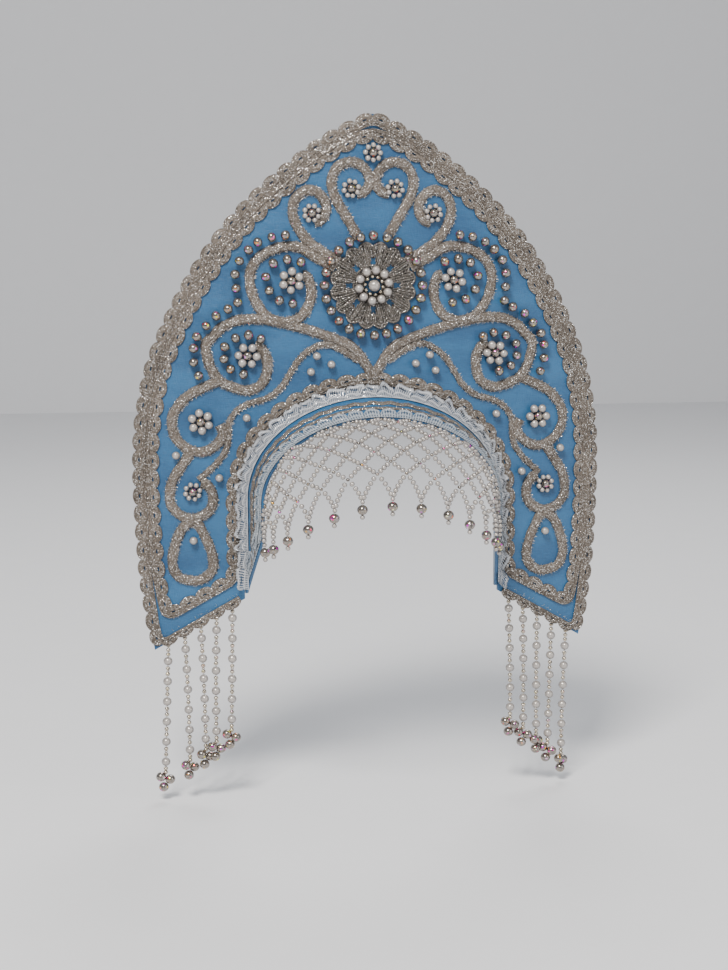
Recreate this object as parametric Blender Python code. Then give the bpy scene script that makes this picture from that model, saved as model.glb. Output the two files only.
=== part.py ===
"""Kokoshnik headdress: pointed satin panel, forehead band, corded scrolls, bead net and fringe.

+Z is up, the front faces -Y, and the origin is where the band rests on the head.
"""
import bpy
import bmesh
import math
from mathutils import Vector

# Panel
PANEL_THICKNESS = 0.003
PANEL_BEND_RADIUS = 0.70
ARCH_HALF_WIDTH = 0.085
ARCH_CENTRE_Z = -0.066
ARCH_RISE = 0.0683
GAP = 0.0003

# Panel edge from the apex to the widest place: half width, height
PANEL_TOP = (
    (0.0000, 0.1797), (0.0210, 0.1700), (0.0390, 0.1592), (0.0520, 0.1492), (0.0640, 0.1395),
    (0.0740, 0.1308), (0.0832, 0.1220), (0.0912, 0.1132), (0.0990, 0.1040), (0.1060, 0.0948),
    (0.1120, 0.0860), (0.1180, 0.0768), (0.1235, 0.0670), (0.1290, 0.0570), (0.1340, 0.0465),
    (0.1385, 0.0365), (0.1430, 0.0253), (0.1467, 0.0140), (0.1497, 0.0000), (0.1523, -0.0150),
    (0.1537, -0.0290), (0.1543, -0.0520),
)
# Panel edge from the tip up to the widest place: half width, height
PANEL_LOW = (
    (0.0850, -0.1335), (0.1130, -0.1497), (0.1442, -0.1680), (0.1472, -0.1520), (0.1495, -0.1350),
    (0.1515, -0.1190), (0.1528, -0.0980), (0.1538, -0.0760), (0.1543, -0.0520),
)

# Band
BAND_THICKNESS = 0.002
BAND_FRONT_Y = -0.032
BAND_FRONT_HALF_WIDTH = 0.077
BAND_FRONT_RISE = 0.054
BAND_REAR_LOW_Z = -0.130
BAND_FRONT_LOW_Z = -0.088
BAND_STATIONS = 30

# Flat trims
BRAID_WIDTH = 0.008
BRAID_THICKNESS = 0.0012
SCALLOP_PITCH = 0.0118
SCALLOP_DEPTH = 0.0028
LACE_THICKNESS = 0.0008
LACE_SCALLOPS = 34

# Cords
CORD_WIDTH = 0.0064
CORD_HEIGHT = 0.0024
VINE_WIDTH = 0.0038
VINE_HEIGHT = 0.0020
CORD_STEP = 0.0100

# Pearls and beads
PEARL_SIDES = 10
SINGLE_PEARL = 0.0056
SILVER_BEAD = 0.0062
BIG_FLOWER_RADIUS = 0.0080
BIG_FLOWER_HEIGHT = 0.0050
SMALL_FLOWER_RADIUS = 0.0060
SMALL_FLOWER_HEIGHT = 0.0038

# Medallion
MEDALLION = (0.0, 0.0706)
LACE_RADIUS = 0.0280
LACE_PETAL_DEPTH = 0.0018
BEAD_RING_RADIUS = 0.0320
PEARL_RING_RADIUS = 0.0107
RING_PEARL = 0.0060
CENTRE_PEARL = 0.0080

# Net over the forehead
NET_HALF_WIDTH = BAND_FRONT_HALF_WIDTH + 0.0002
NET_BASE_Y = BAND_FRONT_Y - 0.0004
NET_BULGE = 0.044
NET_CENTRE_Z = -0.066
NET_RISE = BAND_FRONT_RISE
NET_LOW_CENTRE = -0.057
NET_LOW_DROP = 0.033
NET_COLUMNS = 13
NET_ROW = 0.0105
NET_STRING = 0.0030
NET_THICKNESS = 0.0024
DROP_WIDTH = 0.0064
DROP_LENGTH = 0.0130

# Fringe strings: half width and height of the top on the bottom edge
FRINGE_TOPS = (
    ("1", 0.1353, -0.1628), ("2", 0.1246, -0.1565), ("3", 0.1140, -0.1503), ("4", 0.1036, -0.1442),
    ("5", 0.0932, -0.1382),
)
FRINGE_SIDES = 10
FRINGE_FIRST_PEARL = 0.0085
FRINGE_LAST_PEARL = 0.0800
CLUSTER_TOP = 0.0910
CLUSTER_FOOT = 0.0950
FRINGE_LENGTH = 0.1040
STRING_RADIUS = 0.0010
FRINGE_PEARL_RADIUS = 0.0029
CLUSTER_RADIUS = 0.0050

# Sketch of the left half in units across and down; the middle line leans a little
SKETCH_UNIT = 0.00066
SKETCH_ARCH_TOP = 392.0
SKETCH_MIDDLE = 380.7
SKETCH_LEAN = 0.024
SKETCH_TILT = 0.02
SKETCH_SPREAD = 0.0107

# Cord middle lines: across, down
CREST = (
    (357, 232), (348, 216), (341, 204), (336.5, 192), (336.5, 181), (341, 172), (349, 167),
    (357, 166), (365, 169), (371, 176), (373.5, 184), (371, 191), (366, 194),
)
SHOULDER_SCROLL = (
    (338, 259), (319, 248), (305, 234), (298, 219), (298, 207), (303, 198), (312, 193), (322, 195),
    (329, 204), (330, 213), (324, 222),
)
UPPER_SCROLL = (
    (334, 266), (316, 256), (303, 248), (289, 247), (273, 251.5), (260, 261), (254, 274),
    (255, 290), (262, 306), (273, 317), (289, 320), (303, 314), (311, 301), (313, 288), (310, 277),
    (305, 275),
)
MAIN_SCROLL = (
    (364, 367), (351, 345), (327, 334), (303, 326), (279, 320), (260, 317), (241, 318), (225, 325),
    (216, 334), (209, 344), (209, 353), (213, 368), (221, 380), (236, 387), (249, 389), (261, 383),
    (267, 371.5), (267.5, 358), (263, 348),
)
LOWER_SCROLL = (
    (220, 380), (203, 388), (190, 395), (180, 405), (174, 416), (174, 430), (180, 441), (191, 449),
    (204.5, 450), (216, 443), (223, 433), (219.5, 423),
)
END_SCROLL = (
    (191, 451), (181, 466), (173, 479), (170, 492.5), (171, 504), (180, 514), (191, 517),
    (204.5, 512), (211, 502.5), (211, 491), (206, 483),
)
VINE = (
    (357, 359), (340, 348), (324, 343), (311, 348), (299, 358), (289, 373), (281, 385),
    (267.5, 396), (251, 401), (238, 408), (229, 420), (228, 433), (226, 446), (218, 459),
    (206, 471), (198, 478),
)
TEARDROP = (
    (194, 520), (184, 524), (178, 533), (174, 543.5), (171, 557.5), (172, 568), (177, 576),
    (186, 579), (196, 579), (205, 574), (210, 566), (210, 556), (207, 544.5), (202, 533),
)

# Flowers: name, across, down, big
FLOWERS = (
    ("crest", 354.5, 191.5, False), ("shoulder", 315.5, 215, False), ("upper", 293.5, 280, True),
    ("middle", 248.5, 355, True), ("lower", 201, 420.4, True), ("small", 192, 490, False),
)
APEX_FLOWER = (0.0, 0.1550)
# Single pearls: name, across, down
PEARLS = (
    ("a", 245.7, 415.9), ("b", 176.4, 454), ("c", 217.8, 475.6), ("d", 191.6, 538.5),
    ("e", 316, 354.5), ("f", 330, 362.5), ("g", 309.7, 370),
)
# Silver bead rows: name, then across and down
BEAD_ROWS = (
    ("outer", (
        (289, 236), (275, 238), (262, 243), (251, 252), (241.5, 265), (239, 279), (240, 292),
        (240, 303), (230, 307.5), (217, 315), (206, 327), (198, 341), (196, 356), (197, 367),
    )),
    ("upper", (
        (303, 262), (290, 259.5), (277, 263), (269.5, 274), (271, 288), (281, 299), (294, 302),
    )),
    ("middle", (
        (262, 336), (248, 332), (234, 337), (226, 348), (226, 360.8), (233.5, 369.5), (244, 373),
    )),
)

# Surface colours
SATIN = (0.16, 0.36, 0.55)
SILVER = (0.55, 0.50, 0.46)
LACE = (0.86, 0.87, 0.90)
PEARL = (0.88, 0.87, 0.86)
STEEL = (0.45, 0.44, 0.46)


def material(name, colour, metallic, roughness):
    """Return a new Principled material."""
    made = bpy.data.materials.new(name)
    made.use_nodes = True
    shader = made.node_tree.nodes["Principled BSDF"]
    shader.inputs["Base Color"].default_value = (*colour, 1.0)
    shader.inputs["Metallic"].default_value = metallic
    shader.inputs["Roughness"].default_value = roughness
    made.diffuse_color = (*colour, 1.0)
    return made


def finish(name, mesh_data, look):
    """Link one mesh as a named object with its own material."""
    mesh = bpy.data.meshes.new(name)
    bmesh.ops.remove_doubles(mesh_data, verts=mesh_data.verts, dist=0.00001)
    bmesh.ops.triangulate(mesh_data, faces=mesh_data.faces)
    bmesh.ops.recalc_face_normals(mesh_data, faces=mesh_data.faces)
    mesh_data.to_mesh(mesh)
    mesh_data.free()
    mesh.materials.append(material(name + "_surface", *look))
    made = bpy.data.objects.new(name, mesh)
    headdress.objects.link(made)
    return made


def bend(x):
    """Return how far the panel lies back at a half width."""
    return PANEL_BEND_RADIUS - math.sqrt(PANEL_BEND_RADIUS ** 2 - x * x)


def on_panel(x, z, height):
    """Return the place at a height in front of the panel face."""
    return Vector((x, bend(x) - height, z))


def sketch(across, down):
    """Return half width and height of one sketch point."""
    middle = SKETCH_MIDDLE - SKETCH_LEAN * down
    half = (middle - across) * (1 + SKETCH_SPREAD * max(0.0, down - 400) / 100)
    level = down - (SKETCH_TILT * half if down > 340 else 0.0)
    return Vector((half * SKETCH_UNIT, (SKETCH_ARCH_TOP - level) * SKETCH_UNIT))


def smooth(points, step, closed=False):
    """Return points at equal steps along a smooth line through the given ones."""
    count = len(points)
    dense = []
    for index in range(count if closed else count - 1):
        if closed:
            four = [points[(index + offset) % count] for offset in (-1, 0, 1, 2)]
        else:
            four = [points[min(max(index + offset, 0), count - 1)] for offset in (-1, 0, 1, 2)]
        for part in range(8):
            t = part / 8
            dense.append(0.5 * (
                2 * four[1] + (four[2] - four[0]) * t
                + (2 * four[0] - 5 * four[1] + 4 * four[2] - four[3]) * t * t
                + (3 * four[1] - four[0] - 3 * four[2] + four[3]) * t ** 3
            ))
    dense.append(dense[0] if closed else points[-1])
    return even(dense, step, closed)


def even(points, step, closed=False):
    """Return points at equal steps along a polyline."""
    lengths = [0.0]
    for first, second in zip(points, points[1:]):
        lengths.append(lengths[-1] + (second - first).length)
    parts = max(3, round(lengths[-1] / step))
    result = []
    place = 0
    for index in range(parts + (0 if closed else 1)):
        target = lengths[-1] * index / parts
        while place < len(points) - 2 and lengths[place + 1] < target:
            place += 1
        span = max(lengths[place + 1] - lengths[place], 1e-9)
        result.append(points[place].lerp(points[place + 1], (target - lengths[place]) / span))
    return result


def sides_of(points, closed=False):
    """Return the unit side vector at each point of a flat line, to the left of its run."""
    count = len(points)
    result = []
    for index in range(count):
        before = points[index - 1] if closed or index > 0 else points[index]
        after = points[(index + 1) % count] if closed or index < count - 1 else points[index]
        run = (after - before).normalized()
        result.append(Vector((-run.y, run.x)))
    return result


def relaxed(points, rounds, closed):
    """Return the line with its corners rounded."""
    count = len(points)
    for _ in range(rounds):
        points = [
            points[index] if not closed and index in (0, count - 1) else
            (points[index - 1] + 2 * points[index] + points[(index + 1) % count]) / 4
            for index in range(count)
        ]
    return points


def tiled(name, tiles, layers, look):
    """Make a closed plate from tiles of named corners; layers give both faces of each corner."""
    mesh_data = bmesh.new()
    corners = {}
    for tile in tiles:
        for corner in tile:
            if corner not in corners:
                front, back = layers(corner)
                corners[corner] = (mesh_data.verts.new(front), mesh_data.verts.new(back))
    runs = {(a, b) for tile in tiles for a, b in zip(tile, tile[1:] + tile[:1])}
    for tile in tiles:
        mesh_data.faces.new([corners[corner][0] for corner in tile])
        mesh_data.faces.new([corners[corner][1] for corner in reversed(tile)])
    for a, b in sorted(runs):
        if (b, a) not in runs:
            mesh_data.faces.new([corners[b][0], corners[a][0], corners[a][1], corners[b][1]])
    return finish(name, mesh_data, look)


def plate_layers(height, thickness):
    """Return a function for both faces of a flat trim on the panel."""
    def layers(corner):
        return on_panel(*corner, height + thickness), on_panel(*corner, height)
    return layers


def table_line(table):
    """Return a table of half width and height as vectors."""
    return [Vector(row) for row in table]


def level_at(table, x):
    """Return the height of a table line at a half width."""
    for (x0, z0), (x1, z1) in zip(table, table[1:]):
        if x0 <= x <= x1:
            return z0 + (z1 - z0) * (x - x0) / (x1 - x0)
    return table[-1][1]


def make_panel():
    """Make the bent pointed panel with its arch."""
    low = PANEL_LOW[:3]
    side = tuple(reversed(PANEL_LOW[2:]))
    inner = [ARCH_HALF_WIDTH * math.sin(math.radians(angle)) for angle in range(0, 91, 9)]
    outer = sorted({row[0] for row in PANEL_TOP + PANEL_LOW if row[0] > ARCH_HALF_WIDTH + 0.0001})
    tip = PANEL_LOW[2][0]

    def arch(x):
        return ARCH_CENTRE_Z + ARCH_RISE * math.sqrt(max(0.0, 1 - (x / ARCH_HALF_WIDTH) ** 2))

    def lower(x):
        if x <= tip:
            return level_at(low, x)
        return level_at(tuple(reversed(side)), x)

    tiles = []
    for left, right in zip(inner, inner[1:]):
        tiles.append([(left, arch(left)), (right, arch(right)), (right, level_at(PANEL_TOP, right)),
                      (left, level_at(PANEL_TOP, left))])
    columns = [ARCH_HALF_WIDTH] + outer
    for left, right in zip(columns, columns[1:]):
        tile = [(left, lower(left)), (right, lower(right))]
        if right < columns[-1]:
            tile.append((right, level_at(PANEL_TOP, right)))
        tile.append((left, level_at(PANEL_TOP, left)))
        if left == ARCH_HALF_WIDTH:
            tile.append((left, ARCH_CENTRE_Z))
        tiles.append(tile)
    mirrored = [[(-x, z) for x, z in reversed(tile)] for tile in tiles]

    def layers(corner):
        x, z = corner
        return on_panel(x, z, 0.0), on_panel(x, z, -PANEL_THICKNESS)

    key = [[(round(x, 7) + 0.0, round(z, 7)) for x, z in tile] for tile in tiles + mirrored]
    return tiled("panel", key, layers, (SATIN, 0.0, 0.4))


def band_point(u, s, lift):
    """Return a place on the band: u along the arch, s from rear to front, lift off its face."""
    depth = max(s, 0.0)
    width = ARCH_HALF_WIDTH - GAP + (BAND_FRONT_HALF_WIDTH - ARCH_HALF_WIDTH) * depth + lift
    rise = ARCH_RISE - GAP + (BAND_FRONT_RISE - ARCH_RISE) * depth + lift
    low = BAND_REAR_LOW_Z + (BAND_FRONT_LOW_Z - BAND_REAR_LOW_Z) * depth
    side = ARCH_CENTRE_Z - low
    share = side / (2 * side + 3.05 * 0.5 * (width + rise))
    if u < share:
        x, z = -width, low + side * u / share
    elif u > 1 - share:
        x, z = width, low + side * (1 - u) / share
    else:
        angle = math.pi * (1 - (u - share) / (1 - 2 * share))
        x, z = width * math.cos(angle), ARCH_CENTRE_Z + rise * math.sin(angle)
    y = bend(x) * (1 - depth) + BAND_FRONT_Y * depth
    if s < 0:
        y += PANEL_THICKNESS * -s
    return Vector((x, y, z))


def make_band():
    """Make the tapered band that runs forward from the arch."""
    rows = (-1.0, 0.0, 1.0)
    tiles = []
    for index in range(BAND_STATIONS):
        u0, u1 = index / BAND_STATIONS, (index + 1) / BAND_STATIONS
        for s0, s1 in zip(rows, rows[1:]):
            tiles.append([(u0, s0), (u0, s1), (u1, s1), (u1, s0)])

    def layers(corner):
        return band_point(*corner, 0.0), band_point(*corner, -BAND_THICKNESS)

    return tiled("arch_band", tiles, layers, (SATIN, 0.0, 0.4))


def band_strip(name, s0, s1, look):
    """Make a narrow braid round the outside of the band."""
    tiles = []
    for index in range(BAND_STATIONS):
        u0, u1 = index / BAND_STATIONS, (index + 1) / BAND_STATIONS
        tiles.append([(u0, s0), (u0, s1), (u1, s1), (u1, s0)])

    def layers(corner):
        return band_point(*corner, GAP + 0.0008), band_point(*corner, GAP)

    return tiled(name, tiles, layers, look)


def band_lace(name, foot, edge, foot_lift, edge_lift):
    """Make a scalloped lace along the band, from its foot to its free edge."""
    tiles = []
    for index in range(LACE_SCALLOPS):
        u0, u1 = index / LACE_SCALLOPS, (index + 1) / LACE_SCALLOPS
        middle = (index + 0.5) / LACE_SCALLOPS
        tiles.append([(u0, 0.0), (u1, 0.0), (u1, 0.66), (middle, 1.0), (u0, 0.66)])

    def layers(corner):
        u, v = corner
        s = foot + (edge - foot) * v
        lift = foot_lift + (edge_lift - foot_lift) * v
        return band_point(u, s, lift + LACE_THICKNESS), band_point(u, s, lift)

    return tiled(name, tiles, layers, (LACE, 0.0, 0.7))


def scalloped(name, line, closed, turn, phase_height):
    """Make a flat braid with one straight and one scalloped edge along a line on the panel."""
    length = sum((b - a).length for a, b in zip(line, line[1:]))
    pitches = round(length / SCALLOP_PITCH)
    points = even(line + (line[:1] if closed else []), length / (pitches * 2), closed)
    if closed:
        points = points[:len(points) // 2 * 2]
    else:
        points = points[:(len(points) - 1) // 2 * 2 + 1]
    side = sides_of(points, closed)
    count = len(points)
    straight, edge = [], []
    for index, (point, out) in enumerate(zip(points, side)):
        reach = BRAID_WIDTH / 2 - (SCALLOP_DEPTH if index % 2 == 0 else 0.0)
        low = point - out * (turn * BRAID_WIDTH / 2)
        high = point + out * (turn * reach)
        straight.append((round(low.x, 7), round(low.y, 7)))
        edge.append((round(high.x, 7), round(high.y, 7)))
    tiles = []
    for start in range(0, count if closed else count - 1, 2):
        three = [(start + offset) % count for offset in range(3)]
        tiles.append([straight[three[0]], straight[three[2]]] + [edge[k] for k in reversed(three)])
    return tiled(name, tiles, plate_layers(GAP + phase_height, BRAID_THICKNESS), (SILVER, 0.3, 0.5))


def inset_edge(distance, low_limit):
    """Return the right half of the panel edge moved inwards, from the apex down."""
    line = table_line(PANEL_TOP) + table_line(tuple(reversed(PANEL_LOW))[1:7])
    line = smooth(line, 0.004)
    side = sides_of(line)
    side[0] = (side[0] + Vector((-side[0].x, side[0].y))).normalized()
    moved = []
    for point, out in zip(line, side):
        inward = -out if out.x > 0 or out.y > 0 else out
        place = point + inward * distance
        if place.y > low_limit and place.x >= -0.0001:
            moved.append(place)
    moved[0].x = 0.0
    return moved


def make_field_braid():
    """Make the closed braid loop round the field."""
    outer = inset_edge(0.0108, -0.116)
    reach = ARCH_HALF_WIDTH + 0.0075
    rise = ARCH_RISE + 0.0080
    half = outer + [Vector((0.1360, -0.1443)), Vector((0.1135, -0.1316)), Vector((reach, -0.1197))]
    half += [Vector((reach, z)) for z in (-0.105, -0.085)]
    for angle in range(0, 91, 10):
        turn = math.radians(angle)
        half.append(Vector((reach * math.cos(turn), ARCH_CENTRE_Z + rise * math.sin(turn))))
    loop = half + [Vector((-p.x, p.y)) for p in reversed(half[1:-1])]
    loop = even(loop + loop[:1], 0.0015, True)
    loop = relaxed(loop, 14, True)
    return scalloped("field_braid", loop, True, -1, 0.0)


def make_edge_braid():
    """Make the braid along the outer and bottom edges."""
    half = inset_edge(0.0020, -0.160)
    half += [Vector((0.1418, -0.1642)), Vector((0.1130, -0.1474)), Vector((0.0885, -0.1332))]
    line = [Vector((-p.x, p.y)) for p in reversed(half[1:])] + half
    line = even(line, 0.0015)
    line = relaxed(line, 14, False)
    return scalloped("edge_braid", line, False, 1, 0.0)


def away_from(points, centre, distance):
    """Return the points that keep a distance from a centre."""
    return [point for point in points if (point - centre).length >= distance]


def cord(points, width, height, closed=False):
    """Return mesh data of one domed cord along a line, lying flat on the panel plane."""
    mesh_data = bmesh.new()
    rings = []
    for point, side in zip(points, sides_of(points, closed)):
        ring = []
        for across, lift in ((-0.5, 0.0), (0.5, 0.0), (0.28, height), (-0.28, height)):
            place = point + side * (across * width)
            ring.append(mesh_data.verts.new((place.x, -lift, place.y)))
        rings.append(ring)
    pairs = list(zip(rings, rings[1:] + rings[:1])) if closed else list(zip(rings, rings[1:]))
    for first, second in pairs:
        for index in range(4):
            after = (index + 1) % 4
            mesh_data.faces.new([first[index], first[after], second[after], second[index]])
    if not closed:
        mesh_data.faces.new(list(reversed(rings[0])))
        mesh_data.faces.new(rings[-1])
    bmesh.ops.recalc_face_normals(mesh_data, faces=mesh_data.faces)
    return mesh_data


def fused_cords(name, cords):
    """Join crossing cords into one body and lay it on the bent panel."""
    first = None
    helpers = []
    for index, mesh_data in enumerate(cords):
        mesh = bpy.data.meshes.new(f"{name}_line_{index}")
        mesh_data.to_mesh(mesh)
        mesh_data.free()
        made = bpy.data.objects.new(f"{name}_line_{index}", mesh)
        cutters.objects.link(made)
        helpers.append(made)
        if first is None:
            first = made
            continue
        join = first.modifiers.new("join", "BOOLEAN")
        join.operation = "UNION"
        join.solver = "EXACT"
        join.object = made
    depsgraph = bpy.context.evaluated_depsgraph_get()
    mesh = bpy.data.meshes.new_from_object(first.evaluated_get(depsgraph))
    mesh_data = bmesh.new()
    mesh_data.from_mesh(mesh)
    bpy.data.meshes.remove(mesh)
    for helper in helpers:
        bpy.data.objects.remove(helper)
    for vert in mesh_data.verts:
        vert.co = on_panel(vert.co.x, vert.co.z, GAP - vert.co.y)
    return finish(name, mesh_data, (SILVER, 0.3, 0.5))


def side_line(points, sign):
    """Return a sketch line on one side, at even steps."""
    line = smooth([sketch(*point) for point in points], CORD_STEP)
    return [Vector((sign * point.x, point.y)) for point in line]


def make_cords():
    """Make the crest and the scrolls of both sides."""
    ring_clear = BEAD_RING_RADIUS + SILVER_BEAD / 2 + CORD_WIDTH / 2 + 0.0006
    centre = Vector(MEDALLION)
    crests = []
    for sign in (-1, 1):
        flower = sketch(*FLOWERS[0][1:3])
        clear = SMALL_FLOWER_RADIUS + CORD_WIDTH / 2 + 0.0006
        line = away_from(side_line(CREST, sign), centre, ring_clear)
        line = away_from(line, Vector((sign * flower.x, flower.y)), clear)
        crests.append(cord(line, CORD_WIDTH, CORD_HEIGHT))
    fused_cords("crest_cord", crests)
    scrolls = (
        (SHOULDER_SCROLL, 1, False), (UPPER_SCROLL, 2, True), (MAIN_SCROLL, 3, True),
        (LOWER_SCROLL, 4, True), (END_SCROLL, 5, False),
    )
    for sign, label in ((-1, "l"), (1, "r")):
        shapes = []
        for points, flower_index, big in scrolls:
            flower = sketch(*FLOWERS[flower_index][1:3])
            radius = BIG_FLOWER_RADIUS if big else SMALL_FLOWER_RADIUS
            line = away_from(side_line(points, sign), centre, ring_clear)
            line = away_from(line, Vector((sign * flower.x, flower.y)),
                             radius + CORD_WIDTH / 2 + 0.0006)
            shapes.append(cord(line, CORD_WIDTH, CORD_HEIGHT))
        shapes.append(cord(side_line(VINE, sign), VINE_WIDTH, VINE_HEIGHT))
        drop = smooth([sketch(*point) for point in TEARDROP], CORD_STEP, True)
        drop = [Vector((sign * point.x, point.y)) for point in drop]
        shapes.append(cord(drop, CORD_WIDTH, CORD_HEIGHT, True))
        fused_cords("scroll_cord_" + label, shapes)


def domed(name, x, z, base, height, rim, look):
    """Make a low dome on the panel with a rim given as radii at equal angles."""
    mesh_data = bmesh.new()
    count = len(rim)
    rings = []
    for share, level in ((0.96, 0.0), (1.0, 0.45), (0.62, 0.92)):
        ring = []
        for index, radius in enumerate(rim):
            turn = math.tau * index / count
            reach = radius * share
            ring.append(mesh_data.verts.new(on_panel(
                x + reach * math.cos(turn), z + reach * math.sin(turn), base + height * level)))
        rings.append(ring)
    top = mesh_data.verts.new(on_panel(x, z, base + height))
    mesh_data.faces.new(list(reversed(rings[0])))
    for first, second in zip(rings, rings[1:]):
        for index in range(count):
            after = (index + 1) % count
            mesh_data.faces.new([first[index], first[after], second[after], second[index]])
    for index in range(count):
        mesh_data.faces.new([rings[-1][index], rings[-1][(index + 1) % count], top])
    return finish(name, mesh_data, look)


def make_flowers():
    """Make the pearl flowers of both sides and the one at the apex."""
    small = [SMALL_FLOWER_RADIUS * (1.0 if index % 2 == 0 else 0.86) for index in range(12)]
    big = [BIG_FLOWER_RADIUS * (1.0 if index % 2 == 0 else 0.84) for index in range(12)]
    look = (PEARL, 0.0, 0.25)
    domed("flower_apex", *APEX_FLOWER, GAP, SMALL_FLOWER_HEIGHT, small, look)
    for label, across, down, is_big in FLOWERS:
        place = sketch(across, down)
        rim = big if is_big else small
        height = BIG_FLOWER_HEIGHT if is_big else SMALL_FLOWER_HEIGHT
        domed(f"flower_{label}_l", -place.x, place.y, GAP, height, rim, look)
        domed(f"flower_{label}_r", place.x, place.y, GAP, height, rim, look)


def ball(name, x, z, base, size, look):
    """Make a round bead standing on a base height in front of the panel."""
    mesh_data = bmesh.new()
    bmesh.ops.create_uvsphere(mesh_data, u_segments=PEARL_SIDES, v_segments=4, radius=size / 2)
    for vert in mesh_data.verts:
        place = vert.co.copy()
        vert.co = on_panel(x + place.x, z + place.y, base + size / 2 + place.z)
    return finish(name, mesh_data, look)


def tube(name, line, closed, radii, base, sides, look):
    """Make a thread of beads as a tube along a line on the panel."""
    mesh_data = bmesh.new()
    rings = []
    for index, (point, out) in enumerate(zip(line, sides_of(line, closed))):
        radius = radii[index % len(radii)]
        ring = []
        for step in range(sides):
            turn = math.tau * (step + 0.5) / sides
            place = point + out * (radius * math.cos(turn))
            ring.append(mesh_data.verts.new(
                on_panel(place.x, place.y, base + radii[0] + radius * math.sin(turn))))
        rings.append(ring)
    pairs = list(zip(rings, rings[1:] + rings[:1])) if closed else list(zip(rings, rings[1:]))
    for first, second in pairs:
        for index in range(sides):
            after = (index + 1) % sides
            mesh_data.faces.new([first[index], first[after], second[after], second[index]])
    if not closed:
        mesh_data.faces.new(list(reversed(rings[0])))
        mesh_data.faces.new(rings[-1])
    return finish(name, mesh_data, look)


def circle(x, z, radius, count):
    """Return points round a circle."""
    return [
        Vector((x + radius * math.cos(math.tau * index / count),
                z + radius * math.sin(math.tau * index / count)))
        for index in range(count)
    ]


def make_medallion():
    """Make the round lace with its pearls and silver ring."""
    x, z = MEDALLION
    rim = []
    for index in range(32):
        rim.append(LACE_RADIUS - (LACE_PETAL_DEPTH if index % 4 == 2 else 0.0))
    tiles = []
    ring = []
    for index, radius in enumerate(rim):
        turn = math.tau * index / 32
        ring.append((round(x + radius * math.cos(turn), 7), round(z + radius * math.sin(turn), 7)))
    for index in range(32):
        tiles.append([(x, z), ring[index], ring[(index + 1) % 32]])
    tiled("medallion_lace", tiles, plate_layers(GAP, 0.0010), (SILVER, 0.3, 0.5))
    top = 2 * GAP + 0.0010
    half = RING_PEARL / 2
    line = circle(x, z, PEARL_RING_RADIUS, 20)
    tube("medallion_pearls", line, True, (half, half * 0.72), top, 6, (PEARL, 0.0, 0.25))
    ball("medallion_centre", x, z, top, CENTRE_PEARL, (PEARL, 0.0, 0.25))
    line = circle(x, z, BEAD_RING_RADIUS, 24)
    tube("medallion_beads", line, True, (SILVER_BEAD / 2,), GAP, 6, (STEEL, 0.9, 0.2))


def make_beads():
    """Make the single pearls and the silver bead rows."""
    for label, across, down in PEARLS:
        place = sketch(across, down)
        ball(f"pearl_{label}_l", -place.x, place.y, GAP, SINGLE_PEARL, (PEARL, 0.0, 0.25))
        ball(f"pearl_{label}_r", place.x, place.y, GAP, SINGLE_PEARL, (PEARL, 0.0, 0.25))
    for label, points in BEAD_ROWS:
        for sign, hand in ((-1, "l"), (1, "r")):
            line = smooth([sketch(*point) for point in points], 0.0105)
            line = [Vector((sign * point.x, point.y)) for point in line]
            tube(f"bead_row_{label}_{hand}", line, False, (SILVER_BEAD / 2,), GAP, 6,
                 (STEEL, 0.9, 0.2))


def net_place(column, climb):
    """Return place, outward direction and spare length of a net point above the lower edge."""
    turn = math.pi / 2 * column / NET_COLUMNS
    x = NET_HALF_WIDTH * math.sin(turn)
    share = math.cos(turn)
    rise, bulge = NET_RISE * share, NET_BULGE * share
    low = NET_LOW_CENTRE - NET_LOW_DROP * math.sin(turn) ** 2
    straight = NET_CENTRE_Z - low
    angle = 0.0
    if straight < 0:
        angle = math.asin(min(1.0, -straight / max(rise, 1e-6)))
        straight = 0.0
    left = climb
    if left <= straight:
        z = low + left
        y = NET_BASE_Y - bulge
        out = Vector((x / NET_HALF_WIDTH ** 2, (y - NET_BASE_Y) / NET_BULGE ** 2, 0.0))
        return Vector((x, y, z)), out.normalized(), 0.0
    left -= straight
    step = math.pi / 2 / 60
    while angle < math.pi / 2 - 0.001:
        piece = step * math.hypot(rise * math.cos(angle), bulge * math.sin(angle))
        if piece > left:
            angle += step * left / max(piece, 1e-9)
            left = 0.0
            break
        left -= piece
        angle += step
    angle = min(angle, math.pi / 2)
    z = max(low, NET_CENTRE_Z) if rise < 1e-6 else NET_CENTRE_Z + rise * math.sin(angle)
    y = NET_BASE_Y - bulge * math.cos(angle)
    out = Vector((x / NET_HALF_WIDTH ** 2, (y - NET_BASE_Y) / NET_BULGE ** 2,
                  (z - NET_CENTRE_Z) / NET_RISE ** 2))
    return Vector((x, y, z)), out.normalized(), left


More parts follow.
